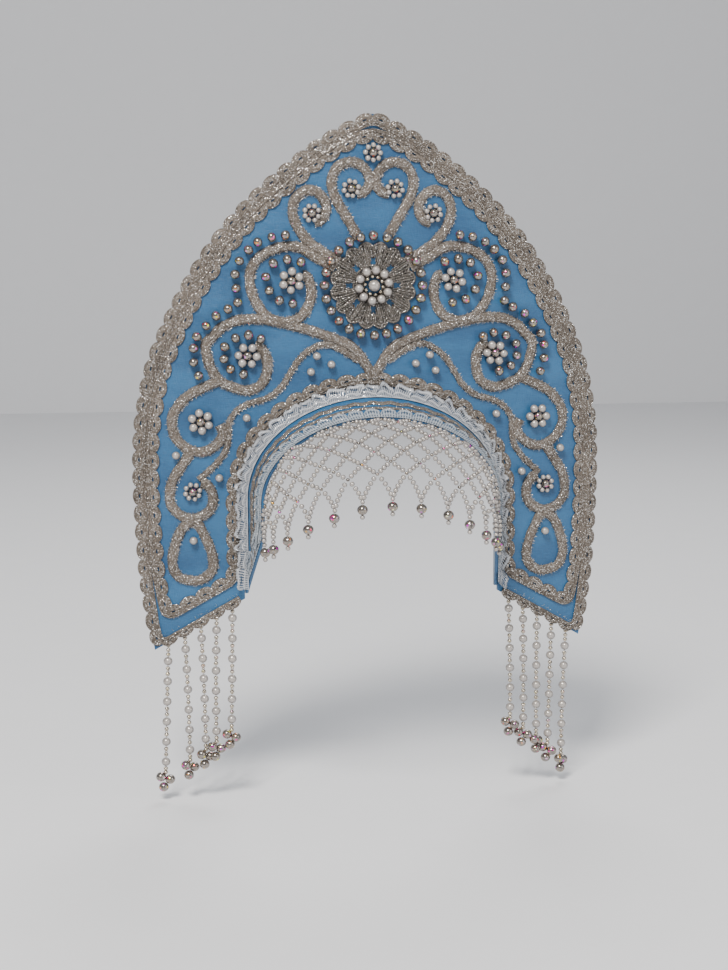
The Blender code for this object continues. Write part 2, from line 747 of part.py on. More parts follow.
def make_net():
    """Make the pierced net over the forehead with its drops."""
    places = {}
    tiles = []

    def crossing(column, row):
        key = ("x", column, row)
        place, out, _ = net_place(column, row * NET_ROW)
        places[key] = (place, place - out * NET_THICKNESS)
        return key

    for row in range(1, 14):
        for column in range(-NET_COLUMNS + 1, NET_COLUMNS):
            if (column + row) % 2 == 0:
                continue
            if net_place(column, (row + 1) * NET_ROW)[2] > 0.55 * NET_ROW:
                continue
            around = [crossing(column, row - 1), crossing(column + 1, row),
                      crossing(column, row + 1), crossing(column - 1, row)]
            points = [places[key][0] for key in around]
            middle = sum(points, Vector()) / 4
            inner = []
            widths = []
            for first, second in zip(points, points[1:] + points[:1]):
                run = (second - first).normalized()
                offset = middle - first
                widths.append((offset - run * offset.dot(run)).length)
            keep = max(0.35, 1 - NET_STRING / 2 / (sum(widths) / 4))
            for index, key in enumerate(around):
                hole = ("h", column, row, index)
                front, back = places[key]
                centre_back = sum((places[other][1] for other in around), Vector()) / 4
                places[hole] = (middle.lerp(front, keep), centre_back.lerp(back, keep))
                inner.append(hole)
            for index in range(4):
                after = (index + 1) % 4
                tiles.append([around[index], around[after], inner[after], inner[index]])
    tiles = [list(reversed(tile)) for tile in tiles]
    drops = []
    for column in range(-NET_COLUMNS + 1, NET_COLUMNS, 2):
        place, out, _ = net_place(column, 0.0)
        drops.append((place - out * (NET_THICKNESS / 2), out))
    net = tiled("bead_net", tiles, lambda corner: places[corner], (PEARL, 0.0, 0.25))
    return join_drops(net, drops)


def join_drops(net, drops):
    """Fuse the drops to the lower edge of the net."""
    helpers = []
    for index, (place, out) in enumerate(drops):
        mesh_data = bmesh.new()
        top = mesh_data.verts.new((0, 0, 0.0015))
        foot = mesh_data.verts.new((0, 0, -DROP_LENGTH))
        ring = []
        for step in range(6):
            turn = math.tau * step / 6
            ring.append(mesh_data.verts.new((
                DROP_WIDTH / 2 * math.cos(turn), DROP_WIDTH / 2 * math.sin(turn),
                -DROP_LENGTH * 0.6)))
        for step in range(6):
            mesh_data.faces.new([ring[step], ring[(step + 1) % 6], top])
            mesh_data.faces.new([ring[(step + 1) % 6], ring[step], foot])
        for vert in mesh_data.verts:
            vert.co += place
        bmesh.ops.recalc_face_normals(mesh_data, faces=mesh_data.faces)
        mesh = bpy.data.meshes.new(f"drop_{index}")
        mesh_data.to_mesh(mesh)
        mesh_data.free()
        made = bpy.data.objects.new(f"drop_{index}", mesh)
        cutters.objects.link(made)
        helpers.append(made)
        join = net.modifiers.new(f"drop_{index}", "BOOLEAN")
        join.operation = "UNION"
        join.solver = "EXACT"
        join.object = made
    depsgraph = bpy.context.evaluated_depsgraph_get()
    mesh = bpy.data.meshes.new_from_object(net.evaluated_get(depsgraph))
    net.modifiers.clear()
    old = net.data
    net.data = mesh
    bpy.data.meshes.remove(old)
    for helper in helpers:
        bpy.data.objects.remove(helper)
    return net


def make_fringe():
    """Make the bead strings under the bottom edges."""
    profile = (
        (STRING_RADIUS, 0.0), (FRINGE_PEARL_RADIUS, -FRINGE_FIRST_PEARL),
        (FRINGE_PEARL_RADIUS, -FRINGE_LAST_PEARL),
        (STRING_RADIUS * 1.4, -FRINGE_LAST_PEARL - FRINGE_PEARL_RADIUS * 1.8),
        (CLUSTER_RADIUS, -CLUSTER_TOP), (CLUSTER_RADIUS, -CLUSTER_FOOT),
        (STRING_RADIUS, -FRINGE_LENGTH),
    )
    for label, half, level in FRINGE_TOPS:
        for sign, hand in ((-1, "l"), (1, "r")):
            mesh_data = bmesh.new()
            rings = []
            y = bend(half) + PANEL_THICKNESS / 2
            for radius, drop in profile:
                ring = []
                for step in range(FRINGE_SIDES):
                    turn = math.tau * step / FRINGE_SIDES
                    ring.append(mesh_data.verts.new((
                        sign * half + radius * math.cos(turn), y + radius * math.sin(turn),
                        level + drop - 0.0008)))
                rings.append(ring)
            for first, second in zip(rings, rings[1:]):
                for index in range(FRINGE_SIDES):
                    after = (index + 1) % FRINGE_SIDES
                    mesh_data.faces.new(
                        [first[index], first[after], second[after], second[index]])
            mesh_data.faces.new(list(reversed(rings[0])))
            mesh_data.faces.new(rings[-1])
            finish(f"fringe_{hand}{label}", mesh_data, (PEARL, 0.0, 0.25))


for old_object in list(bpy.data.objects):
    bpy.data.objects.remove(old_object)
headdress = bpy.data.collections.new("kokoshnik_headdress")
bpy.context.scene.collection.children.link(headdress)
cutters = bpy.data.collections.new("cutters")
bpy.context.scene.collection.children.link(cutters)

make_panel()
make_band()
make_field_braid()
make_edge_braid()
band_lace("junction_lace", 0.25, 0.125, 0.0005, 0.0058)
band_lace("front_lace", 0.995, 0.780, GAP, GAP)
band_strip("band_braid_wide", 0.42, 0.53, (SILVER, 0.3, 0.5))
band_strip("band_braid_thin", 0.64, 0.70, (SILVER, 0.3, 0.5))
make_cords()
make_flowers()
make_medallion()
make_beads()
make_net()
make_fringe()
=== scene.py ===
"""Kokoshnik headdress dressed in satin, lurex braid and cord, lace, pearls and silver beads."""
import logging
import random
from collections.abc import Callable, Iterator, Sequence
from contextlib import contextmanager
from dataclasses import dataclass, field
from enum import Enum
from math import asin, copysign, cos, exp, hypot, pi, radians, sin, sqrt, tau

import bpy
import numpy as np
from mathutils import Matrix, Vector


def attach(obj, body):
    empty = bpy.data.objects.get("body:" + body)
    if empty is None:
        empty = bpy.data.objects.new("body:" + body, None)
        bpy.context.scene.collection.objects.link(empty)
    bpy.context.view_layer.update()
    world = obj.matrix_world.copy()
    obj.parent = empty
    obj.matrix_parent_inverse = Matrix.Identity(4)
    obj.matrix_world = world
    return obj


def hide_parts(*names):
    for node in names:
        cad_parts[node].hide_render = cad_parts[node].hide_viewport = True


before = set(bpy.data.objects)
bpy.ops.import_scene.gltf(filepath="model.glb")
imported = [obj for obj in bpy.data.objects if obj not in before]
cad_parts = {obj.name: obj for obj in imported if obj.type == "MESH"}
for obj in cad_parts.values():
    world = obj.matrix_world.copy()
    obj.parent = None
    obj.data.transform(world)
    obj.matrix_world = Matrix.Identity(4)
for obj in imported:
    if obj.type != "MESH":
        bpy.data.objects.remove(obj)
LOG = logging.getLogger("kokoshnik")
Piece = bpy.types.Object
Paint = bpy.types.Material
Line = list[Vector]
Triple = tuple[float, float, float]
Pairs = tuple[tuple[float, float], ...]
Shape = Callable[[float, float], Vector]
Hole = Callable[[float, float], bool]
Ends = list[tuple[Vector, Vector]]


class Side(Enum):
    """Which half of the headdress a piece is on, as the viewer sees it."""

    LEFT = -1
    RIGHT = 1

    @property
    def letter(self) -> str:
        """Return the letter that ends the node names of this side."""
        return "l" if self is Side.LEFT else "r"


# Placing on the panel and the band

@dataclass(frozen=True)
class PanelFace:
    """The bent front face of the panel."""

    bend_radius: float = 0.70

    def back(self, x: float) -> float:
        """Return how far the face lies back at a half width."""
        return self.bend_radius - sqrt(self.bend_radius ** 2 - x * x)

    def place(self, x: float, z: float, height: float) -> Vector:
        """Return a place in front of the face.

        Args:
            x: Distance from the middle.
            z: Height.
            height: Distance in front of the face.

        Returns:
            The place in metres.
        """
        return Vector((x, self.back(x) - height, z))


@dataclass(frozen=True)
class Sketch:
    """Places on the left half, read off in picture units across and down.

    A unit is 0.66 mm. The rest straightens the headdress's slight turn and lean.
    """

    unit: float = 0.00066
    arch_top: float = 392.0
    middle: float = 380.7
    lean: float = 0.024
    tilt: float = 0.02
    tilt_from: float = 340.0
    spread: float = 0.0107
    spread_from: float = 400.0

    def point(self, across: float, down: float) -> Vector:
        """Return half width and height of a sketch point.

        Args:
            across: Sketch units from the left.
            down: Sketch units from the top.

        Returns:
            Half width and height in metres.
        """
        half = (self.middle - self.lean * down - across) * (
            1 + self.spread * max(0.0, down - self.spread_from) / 100)
        level = down - (self.tilt * half if down > self.tilt_from else 0.0)
        return Vector((half * self.unit, (self.arch_top - level) * self.unit))

    def line(self, points: Sequence[tuple[float, float]], side: Side, step: float,
             closed: bool = False) -> Line:
        """Return a smooth flat line on one side.

        Args:
            points: Sketch points of the left half.
            side: The side that it is for.
            step: Distance between the points made.
            closed: True for a loop.

        Returns:
            Points with half width and height, at even steps.
        """
        made = smooth([self.point(*point) for point in points], step, closed)
        return [Vector((side.value * point.x, point.y)) for point in made]


@dataclass(frozen=True)
class BandFace:
    """The outer face of the tapered band."""

    rear_width: float = 0.0847
    rear_rise: float = 0.0680
    rear_low: float = -0.130
    front_width: float = 0.0767
    front_rise: float = 0.0537
    front_low: float = -0.088
    centre_z: float = -0.066
    front_y: float = -0.032
    thickness: float = 0.002
    tuck: float = 0.003
    half_round: float = 1.525

    def place(self, u: float, s: float, lift: float) -> Vector:
        """Return a place on the band.

        Args:
            u: Share of the way along the arch, from left to right.
            s: 0 at the panel, 1 at the front edge.
            lift: Distance off the outer face.

        Returns:
            The place in metres.
        """
        depth = max(s, 0.0)
        width = self.rear_width + (self.front_width - self.rear_width) * depth + lift
        rise = self.rear_rise + (self.front_rise - self.rear_rise) * depth + lift
        low = self.rear_low + (self.front_low - self.rear_low) * depth
        side = self.centre_z - low
        share = side / (2 * side + self.half_round * (width + rise))
        if u < share:
            x, z = -width, low + side * u / share
        elif u > 1 - share:
            x, z = width, low + side * (1 - u) / share
        else:
            angle = pi * (1 - (u - share) / (1 - 2 * share))
            x, z = width * cos(angle), self.centre_z + rise * sin(angle)
        y = FACE.back(x) * (1 - depth) + self.front_y * depth
        return Vector((x, y - self.tuck * min(s, 0.0), z))

    def outward(self, u: float, s: float) -> Vector:
        """Return the direction away from the head at a place on the band."""
        return (self.place(u, s, 0.001) - self.place(u, s, 0.0)).normalized()


FACE = PanelFace()
BAND = BandFace()
SKETCH = Sketch()


def even(points: Line, step: float, closed: bool = False) -> Line:
    """Return points at equal steps along a line.

    Args:
        points: The line; a loop ends on its first point.
        step: Distance between the points made.
        closed: True for a loop.

    Returns:
        The new points; a loop leaves out the last.
    """
    lengths = [0.0]
    for first, second in zip(points, points[1:]):
        lengths.append(lengths[-1] + (second - first).length)
    parts = max(3, round(lengths[-1] / step))
    made = []
    place = 0
    for index in range(parts + (0 if closed else 1)):
        target = lengths[-1] * index / parts
        while place < len(points) - 2 and lengths[place + 1] < target:
            place += 1
        span = max(lengths[place + 1] - lengths[place], 1e-9)
        made.append(points[place].lerp(points[place + 1], (target - lengths[place]) / span))
    return made


def smooth(points: Line, step: float, closed: bool = False) -> Line:
    """Return a smooth line through points, at equal steps.

    Args:
        points: The points it goes through.
        step: Distance between the points made.
        closed: True for a loop.

    Returns:
        The new points.
    """
    count = len(points)
    dense = []
    for index in range(count if closed else count - 1):
        a, b, c, d = (points[near % count if closed else min(max(near, 0), count - 1)]
                      for near in range(index - 1, index + 3))
        for part in range(8):
            t = part / 8
            dense.append(0.5 * (2 * b + (c - a) * t + (2 * a - 5 * b + 4 * c - d) * t * t
                                + (3 * b - a - 3 * c + d) * t ** 3))
    dense.append(dense[0] if closed else points[-1])
    return even(dense, step, closed)


def relaxed(points: Line, rounds: int, closed: bool) -> Line:
    """Return a line with its corners rounded.

    Args:
        points: Points at even steps.
        rounds: How many times each point moves towards its neighbours.
        closed: True for a loop.

    Returns:
        The new points.
    """
    count = len(points)
    for _ in range(rounds):
        points = [
            points[index] if not closed and index in (0, count - 1) else
            (points[index - 1] + 2 * points[index] + points[(index + 1) % count]) / 4
            for index in range(count)
        ]
    return points


def sides_of(points: Line, closed: bool = False) -> Line:
    """Return the unit side vector at each point of a flat line, to the left of its run."""
    count = len(points)
    made = []
    for index in range(count):
        before = points[index - 1] if closed or index > 0 else points[index]
        after = points[(index + 1) % count] if closed or index < count - 1 else points[index]
        run = (after - before).normalized()
        made.append(Vector((-run.y, run.x)))
    return made


# Materials

class Sock:
    """A shader value that adds its own Math nodes when it is used in a sum."""

    def __init__(self, tree: "Tree", value: bpy.types.NodeSocket | float) -> None:
        """Keep the node tree and the socket or number."""
        self.tree = tree
        self.value = value

    def apply(self, operation: str, *others: "Sock | float", first: bool = True) -> "Sock":
        """Return the result of a Math node.

        Args:
            operation: The node's operation.
            others: The other values.
            first: True where this value comes first.

        Returns:
            The node's result.
        """
        values = [self, *others] if first else [*others, self]
        return self.tree.node("ShaderNodeMath", {"operation": operation}, dict(enumerate(values)))

    def __add__(self, other: "Sock | float") -> "Sock":
        """Return the sum."""
        return self.apply("ADD", other)

    __radd__ = __add__

    def __sub__(self, other: "Sock | float") -> "Sock":
        """Return the difference."""
        return self.apply("SUBTRACT", other)

    def __rsub__(self, other: "Sock | float") -> "Sock":
        """Return the difference with this value taken away."""
        return self.apply("SUBTRACT", other, first=False)

    def __mul__(self, other: "Sock | float") -> "Sock":
        """Return the product."""
        return self.apply("MULTIPLY", other)

    __rmul__ = __mul__

    def above(self, edge: float, width: float) -> "Sock":
        """Return 0 below an edge and 1 above it, soft over a width."""
        return self.tree.node("ShaderNodeMapRange", {"interpolation_type": "SMOOTHSTEP"}, {
            "Value": self, "From Min": edge - width / 2, "From Max": edge + width / 2})


class Tree:
    """The nodes of one material."""

    def __init__(self, name: str) -> None:
        """Make a material with its shader and Object coordinates.

        Args:
            name: The material's name.
        """
        self.material = bpy.data.materials.new(name)
        self.material.use_nodes = True
        self.nodes = self.material.node_tree.nodes
        self.links = self.material.node_tree.links
        self.shader = self.nodes["Principled BSDF"]
        self.place = self.node("ShaderNodeTexCoord", {}, {}, "Object")

    def node(self, kind: str, settings: dict, values: dict, result: str | int = 0) -> Sock:
        """Add one node.

        Args:
            kind: The node's type.
            settings: Its properties, set first; "ramp" holds a ramp's stops.
            values: Its sockets' values or links.
            result: The output wanted.

        Returns:
            The output.
        """
        made = self.nodes.new(kind)
        for name, value in settings.items():
            if name == "ramp":
                ramp = made.color_ramp
                while len(ramp.elements) < len(value):
                    ramp.elements.new(0.5)
                for stop, (position, colour) in zip(ramp.elements, value):
                    stop.position = position
                    stop.color = (*colour, 1.0)
            else:
                setattr(made, name, value)
        for name, value in values.items():
            self.feed(made.inputs[name], value)
        return Sock(self, made.outputs[result])

    def feed(self, socket: bpy.types.NodeSocket, value: "Sock | float | tuple") -> None:
        """Set or link one socket.

        Args:
            socket: The input.
            value: A number, a colour or another node's result.
        """
        if isinstance(value, Sock):
            value = value.value
        if isinstance(value, bpy.types.NodeSocket):
            self.links.new(value, socket)
        elif isinstance(value, tuple) and len(value) == 3 and socket.type == "RGBA":
            socket.default_value = (*value, 1.0)
        else:
            socket.default_value = value

    def noise(self, scale: float, detail: float = 2.0, place: Sock | None = None) -> Sock:
        """Return a noise value.

        Args:
            scale: Features for each metre.
            detail: Finer layers.
            place: Coordinates, or None for the object's own.

        Returns:
            A value around a half.
        """
        return self.node("ShaderNodeTexNoise", {}, {
            "Vector": place or self.place, "Scale": scale, "Detail": detail})

    def cells(self, scale: float, result: str = "Distance", place: Sock | None = None) -> Sock:
        """Return the distance to, or colour of, the nearest of many scattered cells."""
        return self.node("ShaderNodeTexVoronoi", {}, {
            "Vector": place or self.place, "Scale": scale}, result)

    def grey(self, colour: Sock) -> Sock:
        """Return one number from a colour."""
        return self.node("ShaderNodeSeparateColor", {}, {"Color": colour}, 0)

    def stretched(self, scale: Triple) -> Sock:
        """Return the object's coordinates scaled on each axis."""
        return self.node("ShaderNodeMapping", {}, {"Vector": self.place, "Scale": scale})

    def mix(self, share: "Sock | float", first: "Sock | tuple", second: "Sock | tuple") -> Sock:
        """Return a colour between two colours.

        Args:
            share: 0 for the first, 1 for the second.
            first: The first colour.
            second: The second colour.

        Returns:
            The mixed colour.
        """
        return self.node("ShaderNodeMix", {"data_type": "RGBA"}, {
            0: share, 6: first, 7: second}, 2)

    def bump(self, height: Sock, distance: float, strength: float = 1.0) -> Sock:
        """Return a normal bent by a height.

        Args:
            height: The height, 0 to 1.
            distance: Metres for a height of 1.
            strength: How much of it shows.

        Returns:
            The normal.
        """
        return self.node("ShaderNodeBump", {}, {
            "Height": height, "Distance": distance, "Strength": strength}, "Normal")

    def finish(self, **values: "Sock | float | tuple") -> Paint:
        """Set the shader's sockets and return the material.

        Args:
            values: Socket names with underscores for spaces.

        Returns:
            The finished material.
        """
        for name, value in values.items():
            self.feed(self.shader.inputs[name.replace("_", " ")], value)
        return self.material


@dataclass(frozen=True)
class SatinFinish:
    """Sky-blue satin with a fine weave and soft pulls, with painted light and shade: lighter on the
    pulls' tops, darker in their dips.
    """

    name: str = "sky_satin"
    # Lit and shaded satin colours, mixed by the pulls as painted light and shade.
    light: Triple = (0.027, 0.130, 0.275)
    deep: Triple = (0.013, 0.072, 0.172)

    def make(self) -> Paint:
        """Return the material."""
        tree = Tree(self.name)
        pulls = tree.noise(1.0, 3.0, tree.stretched((16.0, 16.0, 42.0)))
        weft = tree.noise(1.0, 2.0, tree.stretched((260.0, 260.0, 2400.0)))
        warp = tree.noise(1.0, 2.0, tree.stretched((2600.0, 2600.0, 300.0)))
        # Painted light and shade: the colour follows the pulls' height, lighter on top and darker
        # in the dips, with the weave's tone.
        pull_shade_and_weave_tone = pulls * 0.6 + weft * 0.25 + warp * 0.15
        height = pulls * 0.80 + weft * 0.11 + warp * 0.09
        return tree.finish(
            Base_Color=tree.mix(pull_shade_and_weave_tone.above(0.5, 0.34), self.deep, self.light),
            Roughness=0.28 + 0.22 * warp, Metallic=0.0,
            Sheen_Weight=0.10, Sheen_Roughness=0.4, Sheen_Tint=(0.60, 0.85, 1.0, 1.0),
            Specular_IOR_Level=0.55, Normal=tree.bump(height, 0.0020, 0.9))


@dataclass(frozen=True)
class LurexFinish:
    """Silver thread wound with sparkling foil."""

    name: str = "silver_lurex"
    dark: Triple = (0.046, 0.037, 0.030)
    light: Triple = (0.262, 0.218, 0.178)
    bright: Triple = (1.0, 0.97, 0.92)
    scale: float = 2300.0
    metal: float = 0.32

    def make(self) -> Paint:
        """Return the material."""
        tree = Tree(self.name)
        foil = tree.grey(tree.cells(self.scale, "Color"))
        grain = tree.noise(3400.0, 2.0)
        drift = tree.noise(45.0, 2.0)
        glint = foil.above(0.90, 0.04)
        thread = tree.mix((foil * 0.45 + grain * 0.45 + drift * 0.3).above(0.6, 0.7),
                          self.dark, self.light)
        return tree.finish(
            Base_Color=tree.mix(glint, thread, self.bright),
            Metallic=self.metal + 0.5 * glint, Roughness=0.58 - 0.42 * glint,
            Normal=tree.bump(foil * 0.5 + grain * 0.5, 0.0004, 0.8))


@dataclass(frozen=True)
class LaceFinish:
    """White see-through lace with ribs and a firm rim."""

    name: str = "white_lace"
    shade: Triple = (0.22, 0.26, 0.32)
    colour: Triple = (0.50, 0.51, 0.53)
    scallops: int = 36
    ribs: int = 9
    body: float = 0.20

    def make(self) -> Paint:
        """Return the material."""
        tree = Tree(self.name)
        shares = tree.node("ShaderNodeSeparateXYZ", {}, {
            "Vector": tree.node("ShaderNodeTexCoord", {}, {}, "UV")}, "X")
        across = Sock(tree, shares.value.node.outputs["Y"])
        grain = tree.noise(2200.0, 2.0)
        rib = (shares * (tau * self.scallops * self.ribs)).apply("SINE").above(0.2, 1.2)
        rim = across.above(0.86, 0.08).apply("MAXIMUM", 1.0 - across.above(0.12, 0.08))
        band = 1.0 - (across - 0.42).apply("ABSOLUTE").above(0.05, 0.03)
        thread = rib.apply("MAXIMUM", rim).apply("MAXIMUM", band)
        glint = tree.grey(tree.cells(1700.0, "Color")).above(0.93, 0.03)
        body = tree.mix(thread * 0.7 + grain * 0.3, self.shade, self.colour)
        return tree.finish(
            Base_Color=tree.mix(glint, body, (1.0, 1.0, 1.0)), Roughness=0.66 - 0.45 * glint,
            Metallic=0.7 * glint, Alpha=self.body + (1.0 - self.body) * thread,
            Normal=tree.bump(thread * 0.6 + grain * 0.4, 0.0004, 0.8))


@dataclass(frozen=True)
class PearlFinish:
    """Ivory bead pearl with a soft coloured sheen, and painted shade darkening its edges."""

    name: str = "ivory_pearl"
    warm: Triple = (0.52, 0.47, 0.40)
    # Dark grey painted onto the edges as painted shade, to round the pearl.
    cool: Triple = (0.10, 0.088, 0.095)

    def make(self) -> Paint:
        """Return the material."""
        tree = Tree(self.name)
        drift = tree.noise(160.0, 1.0)
        # Painted shade: the more a face turns from the camera, the more of the dark edge colour it
        # takes.
        rim = tree.node("ShaderNodeLayerWeight", {}, {"Blend": 0.56}, "Facing")
        body = tree.mix(drift, self.warm, (0.46, 0.425, 0.41))
        return tree.finish(
            Base_Color=tree.mix(rim * 0.85, body, self.cool), Roughness=0.24 + 0.08 * drift,
            Metallic=0.35, Coat_Weight=0.8, Coat_Roughness=0.10, Specular_IOR_Level=0.7)


@dataclass(frozen=True)
class SilverFinish:
    """Silver glass painted dark as a painted reflection of dark surroundings, with warm and
    coloured glints.
    """

    name: str = "silver_glass"
    # Metal tones mottled at random; their darkness is a painted reflection of dark surroundings.
    hues: tuple[tuple[float, Triple], ...] = (
        (0.30, (0.12, 0.105, 0.10)), (0.42, (0.36, 0.325, 0.285)), (0.50, (0.19, 0.17, 0.16)),
        (0.57, (0.46, 0.37, 0.26)), (0.64, (0.24, 0.25, 0.30)), (0.74, (0.40, 0.36, 0.32)),
    )
    sparkle: float = 0.9

    def make(self) -> Paint:
        """Return the material."""
        tree = Tree(self.name)
        hue = tree.noise(420.0, 2.0)
        colour = tree.node("ShaderNodeValToRGB", {"ramp": self.hues}, {"Fac": hue})
        facet = tree.cells(900.0, "Color")
        glint = tree.grey(facet).above(0.925, 0.02)
        vivid = tree.node("ShaderNodeHueSaturation", {}, {"Color": facet, "Saturation": 1.6})
        return tree.finish(
            Base_Color=tree.mix(glint * self.sparkle, colour, vivid), Metallic=0.92,
            Roughness=0.13 + 0.12 * hue, Coat_Weight=0.5, Coat_Roughness=0.05)


@dataclass(frozen=True)
class BackingFinish:
    """Plain blue cloth behind the panel."""

    name: str = "backing_cloth"
    dark: Triple = (0.035, 0.13, 0.25)
    colour: Triple = (0.055, 0.19, 0.33)

    def make(self) -> Paint:
        """Return the material."""
        tree = Tree(self.name)
        weave = tree.noise(1500.0)
        return tree.finish(Base_Color=tree.mix(weave, self.dark, self.colour),
                           Roughness=0.8, Normal=tree.bump(weave, 0.0004, 0.6))


@dataclass(frozen=True)
class StudioFinish:
    """Pale matt paint for the floor."""

    name: str = "pale_floor"
    colour: Triple = (0.80, 0.80, 0.81)

    def make(self) -> Paint:
        """Return the material."""
        tree = Tree(self.name)
        grain = tree.noise(30.0, 2.0)
        return tree.finish(Base_Color=tree.mix(grain, (0.78, 0.78, 0.79), self.colour),
                           Roughness=0.9)


class Finishes:
    """All finishes of the headdress, made once."""

    def __init__(self) -> None:
        """Make them in order."""
        self.satin = SatinFinish().make()
        self.lurex = LurexFinish().make()
        self.foil = LurexFinish(
            "silver_foil", (0.30, 0.26, 0.22), (0.86, 0.80, 0.72), metal=0.75).make()
        self.wire = LurexFinish(
            "silver_wire", (0.040, 0.034, 0.030), (0.36, 0.325, 0.285), metal=0.60).make()
        # A dark sheet under the medallion's ribs, painted shadow in the lace's gaps.
        self.shadow = LurexFinish(
            "dark_painted_shadow", (0.012, 0.011, 0.011), (0.10, 0.090, 0.080), metal=0.40).make()
        self.lace = LaceFinish().make()
        self.front = LaceFinish(
            "edge_lace", (0.19, 0.25, 0.32), (0.42, 0.46, 0.50), 34, 6, 0.25).make()
        self.thread = BackingFinish(
            "white_thread", (0.62, 0.61, 0.58), (0.80, 0.79, 0.76)).make()
        self.pearl = PearlFinish().make()
        self.silver = SilverFinish().make()
        self.seed = SilverFinish("silver_seed", (
            (0.30, (0.20, 0.17, 0.13)), (0.50, (0.62, 0.55, 0.44)), (0.70, (0.40, 0.33, 0.23)),
        ), 0.2).make()
        self.backing = BackingFinish().make()


# Making meshes

def deselect() -> None:
    """Leave nothing selected or active."""
    for item in bpy.context.selected_objects:
        item.select_set(False)
    bpy.context.view_layer.objects.active = None


def take(made: Piece) -> Piece:
    """Make one object the only selected and active one, and return it."""
    deselect()
    made.select_set(True)
    bpy.context.view_layer.objects.active = made
    return made


@contextmanager
def editing() -> Iterator[None]:
    """Keep the active object in edit mode for a few lines."""
    bpy.ops.object.mode_set(mode="EDIT")
    yield
    bpy.ops.object.mode_set(mode="OBJECT")


def dressed(made: Piece, *materials: Paint) -> Piece:
    """Give an object its materials and return it."""
    made.data.materials.clear()
    for item in materials:
        made.data.materials.append(item)
    return made


def from_parts(name: str, points: Sequence, faces: Sequence[tuple[int, ...]]) -> Piece:
    """Return a new object from points and faces.

    Args:
        name: Its name.
        points: Its points.
        faces: Its faces.

    Returns:
        The object.
    """
    mesh = bpy.data.meshes.new(name)
    mesh.from_pydata(points, [], faces)
    made = bpy.data.objects.new(name, mesh)
    bpy.context.scene.collection.objects.link(made)
    return made


def joined(first: Piece, *others: Piece) -> Piece:
    """Join objects into the first and return it."""
    take(first)
    for other in others:
        other.select_set(True)
    bpy.ops.object.join()
    return first


@dataclass
class Bead:
    """A round bead, modelled once and copied."""

    sides: int
    rings: int
    squash: float
    points: np.ndarray = field(default_factory=lambda: np.zeros((0, 3)))
    faces: list[tuple[int, ...]] = field(default_factory=list)

    def model(self) -> "Bead":
        """Model the bead at a radius of one and return it."""
        deselect()
        bpy.ops.mesh.primitive_uv_sphere_add(segments=self.sides, ring_count=self.rings, radius=1.0)
        made = bpy.context.object
        with editing():
            bpy.ops.mesh.select_all(action="SELECT")
            bpy.ops.transform.resize(value=(1.0, 1.0, self.squash))
        self.points = np.array([tuple(vert.co) for vert in made.data.vertices])
        self.faces = [tuple(face.vertices) for face in made.data.polygons]
        mesh = made.data
        bpy.data.objects.remove(made)
        bpy.data.meshes.remove(mesh)
        return self


class Beads:
    """The beads that pieces copy."""

    def __init__(self) -> None:
        """Model each once."""
        self.pearl = Bead(14, 9, 0.95).model()
        self.small_pearl = Bead(10, 6, 0.92).model()
        self.silver = Bead(14, 9, 0.93).model()
        self.seed = Bead(8, 5, 0.85).model()


@dataclass
class Gathering:
    """Copies of beads put together as one piece."""

    points: list[np.ndarray] = field(default_factory=list)
    faces: list[tuple[int, ...]] = field(default_factory=list)
    slots: list[int] = field(default_factory=list)
    count: int = 0

    def add(self, bead: Bead, place: Vector, radius: float, slot: int = 0,
            axis: Vector | None = None, spin: float = 0.0) -> None:
        """Add one bead.

        Args:
            bead: The bead to copy.
            place: Its middle.
            radius: Its radius.
            slot: The material slot that it wears.
            axis: The way its thread runs, or None for upwards.
            spin: Its turn about the thread.
        """
        turn = Matrix.Rotation(spin, 3, "Z")
        if axis is not None:
            turn = axis.to_track_quat("Z", "Y").to_matrix() @ turn
        points = bead.points @ np.array(turn).T * radius + np.array(place)
        self.points.append(points)
        self.faces += [tuple(index + self.count for index in face) for face in bead.faces]
        self.slots += [slot] * len(bead.faces)
        self.count += len(points)

    def build(self, name: str, *materials: Paint) -> Piece:
        """Return the piece.

        Args:
            name: Its name.
            materials: Its material slots.

        Returns:
            The object.
        """
        made = from_parts(name, np.concatenate(self.points).tolist(), self.faces)
        dressed(made, *materials)
        made.data.polygons.foreach_set("material_index", self.slots)
        made.data.polygons.foreach_set("use_smooth", [True] * len(self.faces))
        made.data.update()
        return made


def round_way(turn: float) -> Vector:
    """Return the way that a thread runs round a ring, at an angle."""
    return Vector((-sin(turn), 0.0, cos(turn)))


@dataclass
class Strand:
    """One round thread or cord of a piece."""

    points: Line
    radius: float
    closed: bool = False


def wind(name: str, strands: Sequence[Strand], sides: int = 6) -> Piece:
    """Make threads as a mesh.

    Args:
        name: The object's name.
        strands: The threads.
        sides: Sides of each thread, an even number.

    Returns:
        The object.
    """
    curve = bpy.data.curves.new(name, "CURVE")
    curve.dimensions = "3D"
    curve.bevel_depth = 1.0
    curve.bevel_resolution = (sides - 4) // 2
    curve.use_fill_caps = True
    for strand in strands:
        spline = curve.splines.new("POLY")
        spline.points.add(len(strand.points) - 1)
        spline.points.foreach_set("co", [
            value for point in strand.points for value in (*point, 1.0)])
        spline.points.foreach_set("radius", [strand.radius] * len(strand.points))
        spline.use_cyclic_u = strand.closed
        spline.use_smooth = True
    made = bpy.data.objects.new(name, curve)
    bpy.context.scene.collection.objects.link(made)
    take(made)
    bpy.ops.object.convert(target="MESH")
    return bpy.context.object


